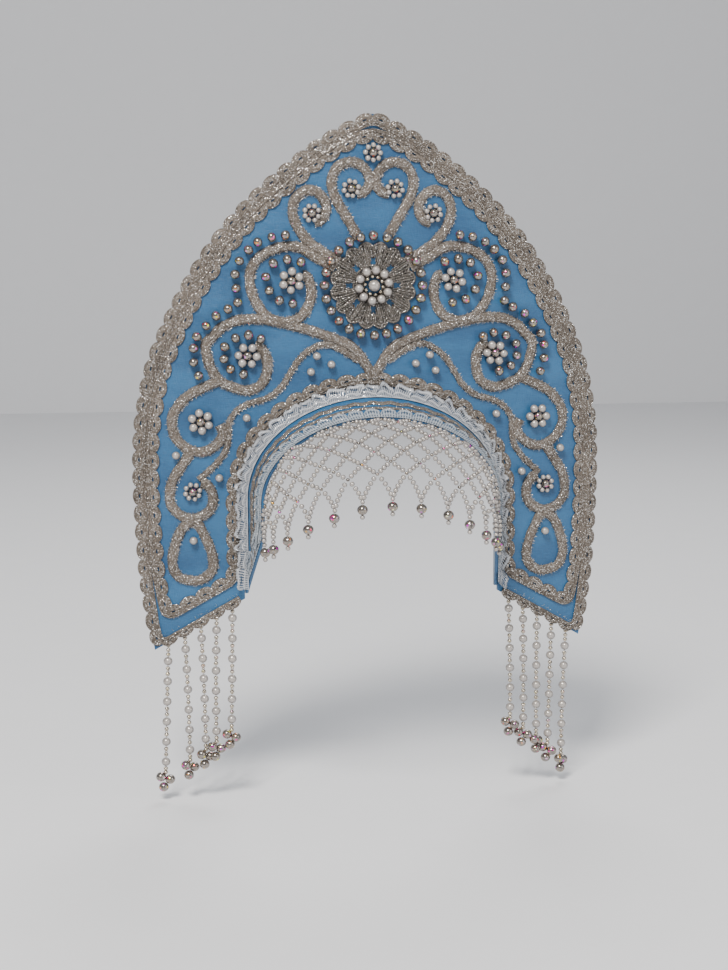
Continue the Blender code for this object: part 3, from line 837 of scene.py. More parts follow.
def bristles(name: str, roots: Ends, width: float) -> Piece:
    """Make loose ends of foil as thin spikes.

    Args:
        name: The object's name.
        roots: The foot and the tip of each.
        width: Their width at the foot.

    Returns:
        The object.
    """
    points, faces = [], []
    for foot, tip in roots:
        run = (tip - foot).normalized()
        side = run.cross(Vector((0.3, 1.0, 0.2))).normalized() * width
        other = run.cross(side)
        start = len(points)
        points += [foot + side, foot - side * 0.5 + other, foot - side * 0.5 - other, tip]
        faces += [(start, start + 1, start + 3), (start + 1, start + 2, start + 3),
                  (start + 2, start, start + 3), (start + 2, start + 1, start)]
    return from_parts(name, points, faces)


def sheet_between(name: str, columns: int, rows: int, place: Shape, hole: Hole | None = None,
                  closed: bool = False) -> Piece:
    """Make a surface from a grid shaped by a function.

    Args:
        name: The object's name.
        columns: Faces along it.
        rows: Faces across it.
        place: Gives the place for shares along and across.
        hole: Tells for shares along and across whether to leave a face out.
        closed: True where its two ends meet.

    Returns:
        The object, with the shares in a UV map.
    """
    deselect()
    bpy.ops.mesh.primitive_grid_add(x_subdivisions=columns, y_subdivisions=rows, size=1.0)
    made = bpy.context.object
    made.name = name
    mesh = made.data
    mesh.name = name
    if hole is not None:
        with editing():
            bpy.ops.mesh.select_mode(type="FACE")
            bpy.ops.mesh.select_all(action="DESELECT")
        for face in mesh.polygons:
            face.select = hole(face.center.x + 0.5, face.center.y + 0.5)
    for vert in mesh.vertices:
        vert.co = place(vert.co.x + 0.5, vert.co.y + 0.5)
    mesh.polygons.foreach_set("use_smooth", [True] * len(mesh.polygons))
    with editing():
        if hole is not None:
            bpy.ops.mesh.delete(type="FACE")
            bpy.ops.mesh.select_mode(type="VERT")
        if closed:
            bpy.ops.mesh.select_all(action="SELECT")
            bpy.ops.mesh.remove_doubles(threshold=0.00002)
    return made


def eyelets(count: int, width: float, middle: float, height: float) -> Hole:
    """Return a test for small oval holes along a strip.

    Args:
        count: How many holes.
        width: Half a hole's width, as a share of the distance between two.
        middle: Where the holes lie, as a share of the way across.
        height: Half a hole's height, as a share of the way across.

    Returns:
        The test, for shares along and across.
    """
    def hole(u: float, v: float) -> bool:
        """Return True inside a hole."""
        across = (count * u) % 1.0 - 0.5
        return (across / width) ** 2 + ((v - middle) / height) ** 2 < 1.0

    return hole


def thicken(made: Piece, thickness: float, offset: float) -> Piece:
    """Give a surface a thickness and return it.

    Args:
        made: The surface.
        thickness: How thick.
        offset: 1 for along its normals, -1 for against them.

    Returns:
        The object.
    """
    wall = made.modifiers.new("wall", "SOLIDIFY")
    wall.thickness = thickness
    wall.offset = offset
    take(made)
    bpy.ops.object.modifier_apply(modifier=wall.name)
    with editing():
        bpy.ops.mesh.select_all(action="SELECT")
        bpy.ops.mesh.normals_make_consistent(inside=False)
    return made


def settle(made: Piece, slot: str, *nodes: str) -> Piece:
    """Tie a piece to the frame.

    Args:
        made: The piece.
        slot: The record's material slot; not used.
        nodes: The solids that it stands for.

    Returns:
        The piece.
    """
    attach(made, "root")
    if nodes:
        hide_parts(*nodes)
    LOG.info("%s: %d faces", made.name, len(made.data.polygons))
    return made


# The headdress

@dataclass
class Trim:
    """A sub-assembly and the finishes that it wears."""

    finishes: Finishes

    def fuzzy(self, body: Piece, roots: Ends, width: float) -> list[Piece]:
        """Return a lurex body and its loose foil ends, dressed.

        Args:
            body: The body.
            roots: The foot and the tip of each loose end.
            width: The loose ends' width.

        Returns:
            The two parts.
        """
        return [dressed(body, self.finishes.lurex),
                dressed(bristles("ends", roots, width), self.finishes.foil)]


@dataclass
class BeadTrim(Trim):
    """A sub-assembly with beads."""

    beads: Beads


class Panel(Trim):
    """The satin panel with its plain back."""

    def dress(self) -> None:
        """Dress the panel's solid: satin in front and round the edge, cloth behind."""
        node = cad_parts["panel"]
        dressed(node, self.finishes.satin, self.finishes.backing)
        node.data.polygons.foreach_set(
            "material_index", [1 if face.normal.y > 0.9 else 0 for face in node.data.polygons])
        LOG.info("panel dressed")


@dataclass
class ForeheadBand(Trim):
    """The satin band with its laces and braids."""

    scallops: int = 36
    front_scallops: int = 34
    ribs: int = 9
    turn_share: float = 0.07
    low_share: float = 0.06
    ruffle_cut: tuple[float, float] = (0.0118, 0.440)
    front_cut: tuple[float, float] = (0.0120, 0.345)
    ruffle_seam: float = 0.262
    ruffle_depth: float = 0.155
    ruffle_lift: float = 0.0054
    ruffle_drop: float = 0.0070
    front_seam: float = 1.010
    front_depth: float = 0.200
    front_lift: float = 0.0016
    end_rise: float = 0.0125
    lace_wall: float = 0.0003
    lace_threads: Pairs = ((0.0, 0.0004), (0.30, 0.00025), (1.0, 0.00030))
    braid_ends: int = 1100
    end_width: float = 0.00014

    def fan(self, phase: float) -> tuple[float, float]:
        """Return how far a scallop reaches and its rib's height, by scallops passed."""
        return abs(sin(pi * phase)) ** 0.45, sin(tau * phase * self.ribs)

    def build(self) -> None:
        """Make the band and its trims."""
        self.cloth()
        self.ruffle()
        self.front_lace()
        self.braid("band_wavy_braid", middle=0.475, half=0.052, wave=0.022, waves=30,
                   node="band_braid_wide")
        self.braid("band_thin_braid", middle=0.670, half=0.030, wave=0.006, waves=44,
                   node="band_braid_thin")

    def cloth(self) -> Piece:
        """Return the smooth satin band."""
        def place(u: float, s: float) -> Vector:
            """Return a place on the band, pulled a little between its seams."""
            pull = 0.00016 * sin(u * 170 + 3 * s) * sin(pi * s)
            return BAND.place(u, -1.0 if s < 0.001 else s * 1.08 - 0.08, pull)

        made = thicken(sheet_between("band_satin", 140, 14, place), BAND.thickness, 1.0)
        return settle(dressed(made, self.finishes.satin), "satin", "arch_band")

    def ruffle(self) -> Piece:
        """Return the gathered lace at the junction."""
        noise = random.Random(7)
        turns = [noise.uniform(0, tau) for _ in range(2)]

        def place(u: float, v: float) -> Vector:
            """Return a place on the gathered lace."""
            reach, rib = self.fan(self.scallops * u)
            u = min(1.0, max(0.0, u + (0.30 * v + 0.16 * sin(u * 57) * v) / self.scallops))
            far = v * (0.58 + 0.52 * reach)
            wave = sin(u * 170 + turns[0]) + 0.6 * sin(u * 271 + turns[1])
            slope = sin(tau * (self.scallops * u - 0.15))
            lift = 0.0009 + self.ruffle_lift * far ** 1.2 + 0.00030 * rib * min(1.0, 2 * v)
            lift += (0.0005 * wave + 0.0012 * slope) * v
            depth = self.ruffle_seam - self.ruffle_depth * far + 0.010 * wave * v
            made = BAND.place(u, depth, max(lift, 0.0005))
            made.y -= 0.0012 * max(0.0, slope) * v
            made.z -= self.ruffle_drop * max(0.0, 1.0 - min(u, 1.0 - u) / self.low_share)
            return made

        made = self.strip("junction_ruffle", self.scallops, 0.22, place)
        return settle(dressed(made, self.finishes.lace), "lace", "junction_lace")

    def strip(self, name: str, scallops: int, eyelet: float, place: Shape) -> Piece:
        """Return a thin lace with eyelets and thicker threads along its foot and edge.

        Args:
            name: The piece's name.
            scallops: How many scallops it has.
            eyelet: Half an eyelet's width, as a share of a scallop.
            place: Gives the place for shares along and across.

        Returns:
            The object.
        """
        made = sheet_between(name, scallops * 20, 12, place, eyelets(scallops, eyelet, 0.70, 0.07))
        count = scallops * 12
        threads = [Strand([place(i / count, v) for i in range(count + 1)], radius)
                   for v, radius in self.lace_threads]
        return joined(thicken(made, self.lace_wall, -1.0), wind("lace_edge", threads, 4))

    def front_lace(self) -> Piece:
        """Return the scalloped lace round the front edge and down the band's ends."""
        def place(u: float, v: float) -> Vector:
            """Return a place on the flat lace."""
            reach, rib = self.fan(self.front_scallops * u)
            far = v * (0.36 + 0.68 * reach)
            lift = 0.0008 + self.front_lift * far ** 1.3 + 0.00025 * rib * v
            end = min(u, 1.0 - u)
            if end < self.turn_share:
                made = BAND.place(round(u), 0.20 + 0.80 * end / self.turn_share, lift)
                made.z += self.end_rise * far
                return made
            middle = (u - self.turn_share) / (1.0 - 2 * self.turn_share)
            return BAND.place(middle, self.front_seam - self.front_depth * far, lift)

        made = self.strip("front_edge_lace", self.front_scallops, 0.20, place)
        return settle(dressed(made, self.finishes.front), "lace", "front_lace")

    def braid(self, name: str, middle: float, half: float, wave: float, waves: int,
              node: str) -> Piece:
        """Make one silver braid round the band.

        Args:
            name: The piece's name.
            middle: Its middle line, as a share of the band's depth.
            half: Half its width, as a share of the band's depth.
            wave: How far it waves, as a share of the band's depth.
            waves: How many waves it has.
            node: The solid that it stands for.

        Returns:
            The object.
        """
        def place(u: float, v: float) -> Vector:
            """Return a place on the braid."""
            swing = wave * sin(tau * waves * u)
            twill = 0.00020 * cos(tau * (u * 210 + 1.2 * v))
            dome = 0.0010 * (1 - (2 * v - 1) ** 4)
            return BAND.place(u, middle + swing + half * (1 - 2 * v), 0.0003 + dome + twill)

        made = sheet_between(name, 840, 6, place)
        noise = random.Random(waves)
        roots = []
        for _ in range(self.braid_ends):
            u, v = noise.random(), noise.choice((0.02, 0.98))
            foot = place(u, v)
            tip = foot + BAND.outward(u, middle) * noise.uniform(0.0004, 0.0012)
            tip += (foot - place(u, 0.5)).normalized() * noise.uniform(0.0003, 0.0009)
            roots.append((foot, tip))
        return settle(joined(*self.fuzzy(made, roots, self.end_width)), "silver_braid", node)


@dataclass
class Path:
    """A flat line that a trim follows on the panel."""

    points: Line
    closed: bool = False
    sides: Line = field(default_factory=list)
    length: float = 0.0

    def __post_init__(self) -> None:
        """Work out the side vectors and the length."""
        self.sides = sides_of(self.points, self.closed)
        whole = self.points + (self.points[:1] if self.closed else [])
        self.length = sum((b - a).length for a, b in zip(whole, whole[1:]))

    def at(self, share: float, across: float, height: float) -> Vector:
        """Return a place beside the line.

        Args:
            share: Share of the way along.
            across: Distance to the left.
            height: Height in front of the panel.

        Returns:
            The place in metres.
        """
        count = len(self.points)
        where = share * (count if self.closed else count - 1)
        index = min(int(where), count - (1 if self.closed else 2))
        after = (index + 1) % count
        flat = self.points[index].lerp(self.points[after], where - index)
        flat += self.sides[index].lerp(self.sides[after], where - index) * across
        return FACE.place(flat.x, flat.y, height)


def loose_ends(path: Path, width: float, each: float, noise: random.Random,
               edges: tuple[int, ...] = (-1, 1)) -> Ends:
    """Return short loose ends of foil along a trim.

    Args:
        path: The trim's middle line.
        width: The trim's width.
        each: Distance between two of them.
        noise: The source of their places and lengths.
        edges: The sides that they stand on.

    Returns:
        The foot and the tip of each.
    """
    roots = []
    for _ in range(int(path.length / each)):
        share, hand = noise.random(), noise.choice(edges)
        across = hand * width * noise.uniform(0.30, 0.50)
        foot = path.at(share, across, noise.uniform(0.0006, 0.0016))
        ahead = min(1.0, max(0.0, share + noise.uniform(-0.0009, 0.0009) / path.length))
        tip = path.at(ahead, across + hand * noise.uniform(0.0005, 0.0018),
                      noise.uniform(0.0004, 0.0026))
        roots.append((foot, tip))
    return roots


@dataclass
class ScallopBraids(Trim):
    """The scalloped silver braids round the field and the edge."""

    width: float = 0.0086
    depth: float = 0.0030
    pitch: float = 0.0118
    ribs: int = 9
    rib_height: float = 0.00020
    dome_height: float = 0.0011
    groove_depth: float = 0.0005
    back_wall: float = 0.0005
    end_spacing: float = 0.0017
    end_width: float = 0.00013
    rims: Pairs = ((0.05, 0.00050), (0.24, 0.00046), (0.97, 0.00048))
    low_width: float = 0.0058
    low_foot: float = -0.0017
    low_run: float = 0.062
    low_turn: float = 0.008
    field_inset: float = 0.0108
    field_reach: float = 0.0925
    field_rise: float = 0.0763
    field_corner: Pairs = ((0.1360, -0.1443), (0.1135, -0.1316))
    field_ends: tuple[float, ...] = (-0.1197, -0.105, -0.085)
    edge_inset: float = 0.0020
    edge_corner: Pairs = ((0.1418, -0.1642), (0.1130, -0.1474), (0.0885, -0.1332))
    edge: Pairs = (
        (0.0000, 0.1797), (0.0210, 0.1700), (0.0390, 0.1592), (0.0520, 0.1492),
        (0.0640, 0.1395), (0.0740, 0.1308), (0.0832, 0.1220), (0.0912, 0.1132),
        (0.0990, 0.1040), (0.1060, 0.0948), (0.1120, 0.0860), (0.1180, 0.0768),
        (0.1235, 0.0670), (0.1290, 0.0570), (0.1340, 0.0465), (0.1385, 0.0365),
        (0.1430, 0.0253), (0.1467, 0.0140), (0.1497, 0.0000), (0.1523, -0.0150),
        (0.1537, -0.0290), (0.1543, -0.0520), (0.1538, -0.0760), (0.1528, -0.0980),
        (0.1515, -0.1190), (0.1495, -0.1350), (0.1472, -0.1520), (0.1442, -0.1680),
    )

    def inset(self, distance: float, low: float) -> Line:
        """Return the right half of the panel's edge moved inwards.

        Args:
            distance: How far inwards.
            low: The lowest height kept.

        Returns:
            Points from the apex down.
        """
        line = smooth([Vector(point) for point in self.edge], 0.004)
        moved = []
        for point, out in zip(line, sides_of(line)):
            if out.x > 0 or out.y > 0:
                out = -out
            place = point + out * distance
            if place.y > low and place.x >= -0.0001:
                moved.append(place)
        moved[0].x = 0.0
        return moved

    def field_line(self) -> Line:
        """Return the middle line of the closed braid round the field."""
        half = self.inset(self.field_inset, -0.116)
        half += [Vector(point) for point in self.field_corner]
        half += [Vector((self.field_reach, level)) for level in self.field_ends]
        for angle in range(0, 91, 10):
            turn = radians(angle)
            half.append(Vector((self.field_reach * cos(turn),
                                BAND.centre_z + self.field_rise * sin(turn))))
        loop = half + [Vector((-p.x, p.y)) for p in reversed(half[1:-1])]
        return relaxed(even(loop + loop[:1], 0.0015, True), 14, True)

    def edge_line(self) -> Line:
        """Return the middle line of the braid along the edge."""
        half = self.inset(self.edge_inset, -0.160)
        half[0].y += 0.0016
        half += [Vector(point) for point in self.edge_corner]
        line = [Vector((-p.x, p.y)) for p in reversed(half[1:])] + half
        return relaxed(even(line, 0.0015), 14, False)

    def braid(self, name: str, line: Line, closed: bool, turn: int, node: str,
              thick: bool) -> Piece:
        """Make one braid.

        Args:
            name: The piece's name.
            line: Its middle line.
            closed: True for a loop.
            turn: 1 where the scallops are to the left of the line, -1 to the right.
            node: The solid that it stands for.
            thick: True to give its back a thickness.

        Returns:
            The object.
        """
        path = Path(line, closed)
        pitches = round(path.length / self.pitch)

        def place(u: float, v: float) -> Vector:
            """Return a place on the braid."""
            low = 0.0 if closed else min(1.0, max(
                0.0, (self.low_run - min(u, 1.0 - u) * path.length) / self.low_turn))
            foot = -self.width / 2 * (1 - low) + self.low_foot * low
            width = self.width * (1 - low) + self.low_width * low
            phase = u * pitches
            wave = abs(sin(pi * phase)) ** 0.6
            far = v * (width - self.depth * (1 - wave))
            rib = self.rib_height * cos(tau * phase * self.ribs) * min(1.0, 2.5 * v)
            groove = self.groove_depth * exp(-((v - 0.36) / 0.07) ** 2)
            dome = self.dome_height * (1 - (2 * v - 1) ** 6) - groove
            return path.at(u, turn * (foot + far), 0.0005 + dome + rib)

        made = sheet_between(name, pitches * 18, 9, place, eyelets(pitches, 0.10, 0.50, 0.11),
                             closed)
        if thick:
            thicken(made, self.back_wall, -turn)
        count = pitches * 12
        rims = [Strand([place(i / count, v) for i in range(count + (0 if closed else 1))],
                       radius, closed) for v, radius in self.rims]
        noise = random.Random(pitches)
        roots = loose_ends(path, self.width * 0.96, self.end_spacing, noise, (-turn,))
        made = joined(made, wind("rims", rims))
        return settle(joined(*self.fuzzy(made, roots, self.end_width)), "silver_braid", node)

    def build(self) -> None:
        """Make both braids."""
        self.braid("field_lurex_braid", self.field_line(), True, -1, "field_braid", False)
        self.braid("edge_lurex_braid", self.edge_line(), False, 1, "edge_braid", True)


@dataclass
class Scrolls(Trim):
    """The couched silver cords with their fuzzy edges."""

    cord_width: float = 0.0066
    vine_width: float = 0.0040
    dome_height: float = 0.0021
    ridge_height: float = 0.00028
    plait_height: float = 0.00022
    roughness: float = 0.00012
    rough_places: int = 97
    end_spacing: float = 0.00036
    end_width: float = 0.00020
    step: float = 0.001
    crest: Pairs = (
        (361, 239), (348, 216), (341, 204), (336.5, 192), (336.5, 181), (341, 172), (349, 167),
        (357, 166), (365, 169), (371, 176), (373.5, 184), (371, 191), (366, 195), (360, 196),
    )
    shoulder: Pairs = (
        (341, 261), (319, 248), (305, 234), (298, 219), (298, 207), (303, 198), (312, 193),
        (322, 195), (329, 204), (330, 213), (324, 222), (318, 224),
    )
    upper: Pairs = (
        (337, 268), (316, 256), (303, 248), (289, 247), (273, 251.5), (260, 261), (254, 274),
        (255, 290), (262, 306), (273, 317), (289, 320), (303, 314), (311, 301), (313, 288),
        (310, 277), (305, 275),
    )
    main: Pairs = (
        (371.5, 375), (369, 370), (363, 360), (351, 345), (327, 334), (303, 326), (279, 320),
        (260, 317), (241, 318), (225, 325), (216, 334), (209, 344), (209, 353), (213, 368),
        (221, 380), (236, 387), (249, 389), (261, 383), (267, 371.5), (267.5, 358), (263, 348),
        (256, 345),
    )
    lower: Pairs = (
        (220, 380), (203, 388), (190, 395), (180, 405), (174, 416), (174, 430), (180, 441),
        (191, 449), (204.5, 450), (216, 443), (223, 433), (219.5, 423),
    )
    end: Pairs = (
        (191, 451), (181, 466), (173, 479), (170, 492.5), (171, 504), (180, 514), (191, 517),
        (204.5, 512), (211, 502.5), (211, 491), (206, 483), (200, 481),
    )
    vine: Pairs = (
        (357, 359), (340, 348), (324, 343), (311, 348), (299, 358), (289, 373), (281, 385),
        (267.5, 396), (251, 401), (238, 408), (229, 420), (228, 433), (226, 446), (218, 459),
        (206, 471), (198, 478),
    )
    teardrop: Pairs = (
        (194, 520), (184, 524), (178, 533), (174, 543.5), (171, 557.5), (172, 568), (177, 576),
        (186, 579), (196, 579), (205, 574), (210, 566), (210, 556), (207, 544.5), (202, 533),
    )

    def cord(self, path: Path, width: float, noise: random.Random) -> list[Piece]:
        """Return the parts of one flat cord.

        Args:
            path: Its middle line.
            width: Its width.
            noise: The source of its unevenness.

        Returns:
            The plaited body and the loose ends.
        """
        columns = max(24, round(path.length / 0.00075))
        turns = path.length / (width * 0.62)
        rough = [noise.uniform(-self.roughness, self.roughness) for _ in range(self.rough_places)]

        def place(u: float, v: float) -> Vector:
            """Return a place on the cord."""
            across = (2 * v - 1) * (1 + 0.05 * sin(u * turns * 2.1))
            plait = cos(tau * (u * turns + 1.1 * abs(across)))
            dome = self.dome_height * (1 - across ** 4) * width / self.cord_width
            ridge = self.ridge_height * cos(pi * 3 * across)
            uneven = rough[int(u * columns * 7 + v * 31) % self.rough_places]
            height = 0.0003 + max(0.0, dome + ridge + self.plait_height * plait + uneven)
            return path.at(u, across * width / 2, height)

        made = sheet_between("cord", columns, 10, place, None, path.closed)
        roots = loose_ends(path, width, self.end_spacing, noise)
        return self.fuzzy(made, roots, self.end_width)

    def build(self) -> None:
        """Make the crest and the scrolls of both sides."""
        noise = random.Random(21)
        parts = []
        for side in Side:
            parts += self.cord(Path(SKETCH.line(self.crest, side, self.step)), self.cord_width,
                               noise)
        made = joined(*parts)
        made.name = "crest_lurex_cord"
        settle(made, "silver_braid", "crest_cord")
        for side in Side:
            parts = []
            for points in (self.shoulder, self.upper, self.main, self.lower, self.end):
                line = SKETCH.line(points, side, self.step)
                parts += self.cord(Path(line), self.cord_width, noise)
            line = SKETCH.line(self.vine, side, self.step)
            parts += self.cord(Path(line), self.vine_width, noise)
            line = SKETCH.line(self.teardrop, side, self.step, True)
            parts += self.cord(Path(line, True), self.cord_width, noise)
            made = joined(*parts)
            made.name = f"scroll_lurex_cord_{side.letter}"
            settle(made, "silver_braid", f"scroll_cord_{side.letter}")


@dataclass
class SewnBeads(BeadTrim):
    """The pearl flowers, single pearls and silver bead rows."""

    big_petals: int = 6
    big_sizes: Triple = (0.0058, 0.0029, 0.0029)
    small_petals: int = 8
    small_sizes: Triple = (0.0047, 0.00186, 0.0027)
    pearl_radius: float = 0.0028
    row_radius: float = 0.0033
    row_height: float = 0.0034
    apex: tuple[float, float] = (0.0, 0.1550)
    flowers: tuple[tuple[str, float, float, bool], ...] = (
        ("crest", 354.5, 191.5, False), ("shoulder", 315.5, 215, False),
        ("upper", 293.5, 280, True), ("middle", 248.5, 355, True), ("lower", 201, 420.4, True),
        ("small", 192, 490, False),
    )
    pearls: tuple[tuple[str, float, float], ...] = (
        ("a", 245.7, 415.9), ("b", 176.4, 454), ("c", 217.8, 475.6), ("d", 191.6, 538.5),
        ("e", 316, 354.5), ("f", 330, 362.5), ("g", 309.7, 370),
    )
    rows: tuple[tuple[str, int, Pairs], ...] = (
        ("outer", 15, (
            (289, 236), (275, 238), (262, 243), (251, 252), (241.5, 265), (239, 279),
            (240, 292), (240, 303), (230, 307.5), (217, 315), (206, 327), (198, 341),
            (196, 356), (197, 367), (200, 375))),
        ("upper", 7, (
            (303, 262), (290, 259.5), (277, 263), (269.5, 274), (271, 288), (281, 299),
            (294, 302))),
        ("middle", 7, (
            (262, 336), (248, 332), (234, 337), (226, 348), (226, 360.8), (233.5, 369.5),
            (244, 373))),
    )

    def flower(self, name: str, x: float, z: float, big: bool, noise: random.Random) -> None:
        """Make one pearl flower.

        Args:
            name: The solid that it stands for.
            x: Its place across.
            z: Its height.
            big: True for a large flower.
            noise: The source of its unevenness.
        """
        group = Gathering()
        count = self.big_petals if big else self.small_petals
        reach, size, heart = self.big_sizes if big else self.small_sizes
        start = noise.uniform(0, tau)
        for index in range(count):
            turn = start + tau * index / count + noise.uniform(-0.05, 0.05)
            far = reach * noise.uniform(0.97, 1.03)
            place = FACE.place(x + far * cos(turn), z + far * sin(turn), size + 0.0004)
            group.add(self.beads.pearl, place, size * noise.uniform(0.95, 1.03), 0,
                      round_way(turn), noise.uniform(0, 3))
        group.add(self.beads.silver, FACE.place(x, z, heart + 0.0008), heart, 1,
                  Vector((0.0, -1.0, 0.2)), noise.uniform(0, 3))
        made = group.build(name.replace("flower", "pearls"), self.finishes.pearl,
                           self.finishes.silver)
        settle(made, "pearl", name)

    def build(self) -> None:
        """Make every flower, pearl and row."""
        noise = random.Random(5)
        self.flower("flower_apex", *self.apex, False, noise)
        for side in Side:
            hand, sign = side.letter, side.value
            for label, across, down, big in self.flowers:
                place = SKETCH.point(across, down)
                self.flower(f"flower_{label}_{hand}", sign * place.x, place.y, big, noise)
            for label, across, down in self.pearls:
                place = SKETCH.point(across, down)
                group = Gathering()
                group.add(self.beads.pearl, FACE.place(sign * place.x, place.y, 0.0031),
                          self.pearl_radius, 0, Vector((0.3, 0.0, 1.0)))
                settle(group.build(f"sewn_pearl_{label}_{hand}", self.finishes.pearl),
                       "pearl", f"pearl_{label}_{hand}")
            for label, count, points in self.rows:
                self.row(label, count, points, side, noise)

    def row(self, label: str, count: int, points: Sequence[tuple[float, float]], side: Side,
            noise: random.Random) -> None:
        """Make one row of silver beads.

        Args:
            label: The row's name.
            count: How many beads.
            points: Sketch points that it follows.
            side: The side that it is on.
            noise: The source of its unevenness.
        """
        line = smooth([SKETCH.point(*point) for point in points], 0.001)
        beads = [line[round(index * (len(line) - 1) / (count - 1))] for index in range(count)]
        group = Gathering()
        for before, bead, after in zip(beads[:1] + beads, beads, beads[1:] + beads[-1:]):
            run = after - before
            place = FACE.place(side.value * bead.x + noise.uniform(-0.0003, 0.0003), bead.y,
                               self.row_height)
            group.add(self.beads.silver, place, self.row_radius * noise.uniform(0.95, 1.04), 0,
                      Vector((side.value * run.x, 0.0, run.y)), noise.uniform(0, 3))
        settle(group.build(f"silver_row_{label}_{side.letter}", self.finishes.silver),
               "silver_bead", f"bead_row_{label}_{side.letter}")


@dataclass
class Medallion(BeadTrim):
    """The round lace in the middle with its pearls and beads."""

    x: float = 0.0
    z: float = 0.0706
    hole_radius: float = 0.0062
    inner_radius: float = 0.0128
    outer_radius: float = 0.0246
    lobe_depth: float = 0.0032
    rib_radius: float = 0.00044
    bars: int = 44
    bar_start: float = 0.0074
    pearls: int = 10
    pearl_reach: float = 0.0099
    pearl_radius: float = 0.0030
    seed_reach: float = 0.0058
    seed_radius: float = 0.0013
    centre_radius: float = 0.0040
    bead_radius: float = 0.0034
    lobes: int = 16
    petals: int = 8
    ring_radius: float = 0.0320
    ring_beads: int = 24

    def at(self, reach: float, turn: float, height: float) -> Vector:
        """Return a place on the medallion."""
        return FACE.place(self.x + reach * cos(turn), self.z + reach * sin(turn), height)

    def hoop(self, reach: float, radius: float, wave: float = 0.0, waves: int = 0,
             height: float = 0.0011) -> Strand:
        """Return a thread that runs round the medallion.

        Args:
            reach: Its distance from the middle.
            radius: The thread's radius.
            wave: How far it waves in and out.
            waves: How many waves it has.
            height: Its height off the panel.

        Returns:
            The thread.
        """
        points = []
        for index in range(192):
            turn = tau * index / 192
            points.append(self.at(reach + wave * abs(sin(waves * turn / 2)), turn, height))
        return Strand(points, radius, True)

    def lace(self) -> Piece:
        """Return the silver guipure lace."""
        noise = random.Random(17)
        strands = [
            self.hoop(self.hole_radius, 0.0007), self.hoop(0.0076, 0.0007),
            self.hoop(self.inner_radius, 0.0008),
            self.hoop(self.outer_radius, 0.0008, self.lobe_depth, self.lobes, 0.0015),
            self.hoop(0.0196, 0.0006, 0.0010, self.petals),
            self.hoop(0.0226, 0.0006, self.lobe_depth, self.lobes),
        ]
        for index in range(self.lobes * 8):
            turn = tau * index / (self.lobes * 8)
            end = self.outer_radius + self.lobe_depth * abs(sin(self.lobes * turn / 2))
            gap = abs(cos(self.petals * turn / 2))
            start = self.inner_radius + 0.0062 * max(0.0, gap - 0.86) / 0.14
            lean = 0.05 * sin(self.lobes * turn) + noise.uniform(-0.02, 0.02)
            strands.append(Strand([
                self.at(start + (end - start) * part / 4, turn + lean * part / 4,
                        0.0011 + 0.0008 * sin(pi * part / 4) + 0.0009 * (index % 2))
                for part in range(5)], self.rib_radius))
        for index in range(self.bars):
            turn = tau * index / self.bars
            strands.append(Strand([self.at(self.bar_start, turn, 0.0010),
                                   self.at(self.inner_radius, turn + 0.1, 0.0010)], 0.0005))
        made = dressed(wind("medallion_guipure", strands, 4), self.finishes.wire)
        # Painted shadow: a dark sheet under the ribs darkens the gaps in the lace.
        joined(made, dressed(self.ground(), self.finishes.shadow))
        return settle(made, "silver_braid", "medallion_lace")

    def ground(self) -> Piece:
        """Return a dark sheet under the lace's ribs, painted shadow for the dark gaps between them.
        """
        def place(u: float, v: float) -> Vector:
            """Return a place on the net."""
            turn = tau * u
            end = 0.0244 + self.lobe_depth * abs(sin(self.lobes * turn / 2))
            return self.at(self.hole_radius + (end - self.hole_radius) * v, turn, 0.0007)

        def hole(u: float, v: float) -> bool:
            """Return True in the gaps between the fans."""
            gap = abs(cos(self.petals * pi * u))
            return 0.34 < v < 0.62 and gap > 0.90

        return sheet_between("guipure_shadow_sheet", self.lobes * 14, 10, place, hole, True)

    def build(self) -> None:
        """Make the lace, pearls and beads."""
        noise = random.Random(9)
        self.lace()
        group = Gathering()
        for index in range(self.pearls):
            turn = tau * (index + 0.3) / self.pearls
            group.add(self.beads.pearl, self.at(self.pearl_reach, turn, 0.0046),
                      self.pearl_radius, 0, round_way(turn))
            group.add(self.beads.seed, self.at(self.seed_reach, turn + 0.3, 0.0044),
                      self.seed_radius, 1)
        settle(group.build("medallion_pearl_ring", self.finishes.pearl, self.finishes.seed),
               "pearl", "medallion_pearls")
        group = Gathering()
        group.add(self.beads.pearl, self.at(0.0, 0.0, 0.0056), self.centre_radius, 0,
                  Vector((0.3, 0, 1)))
        settle(group.build("medallion_middle_pearl", self.finishes.pearl), "pearl",
               "medallion_centre")
        group = Gathering()
        for index in range(self.ring_beads):
            turn = tau * (index + noise.uniform(-0.06, 0.06)) / self.ring_beads
            group.add(self.beads.silver, self.at(self.ring_radius, turn, 0.0035),
                      self.bead_radius, 0, round_way(turn), noise.uniform(0, 3))
        settle(group.build("medallion_silver_ring", self.finishes.silver), "silver_bead",
               "medallion_beads")


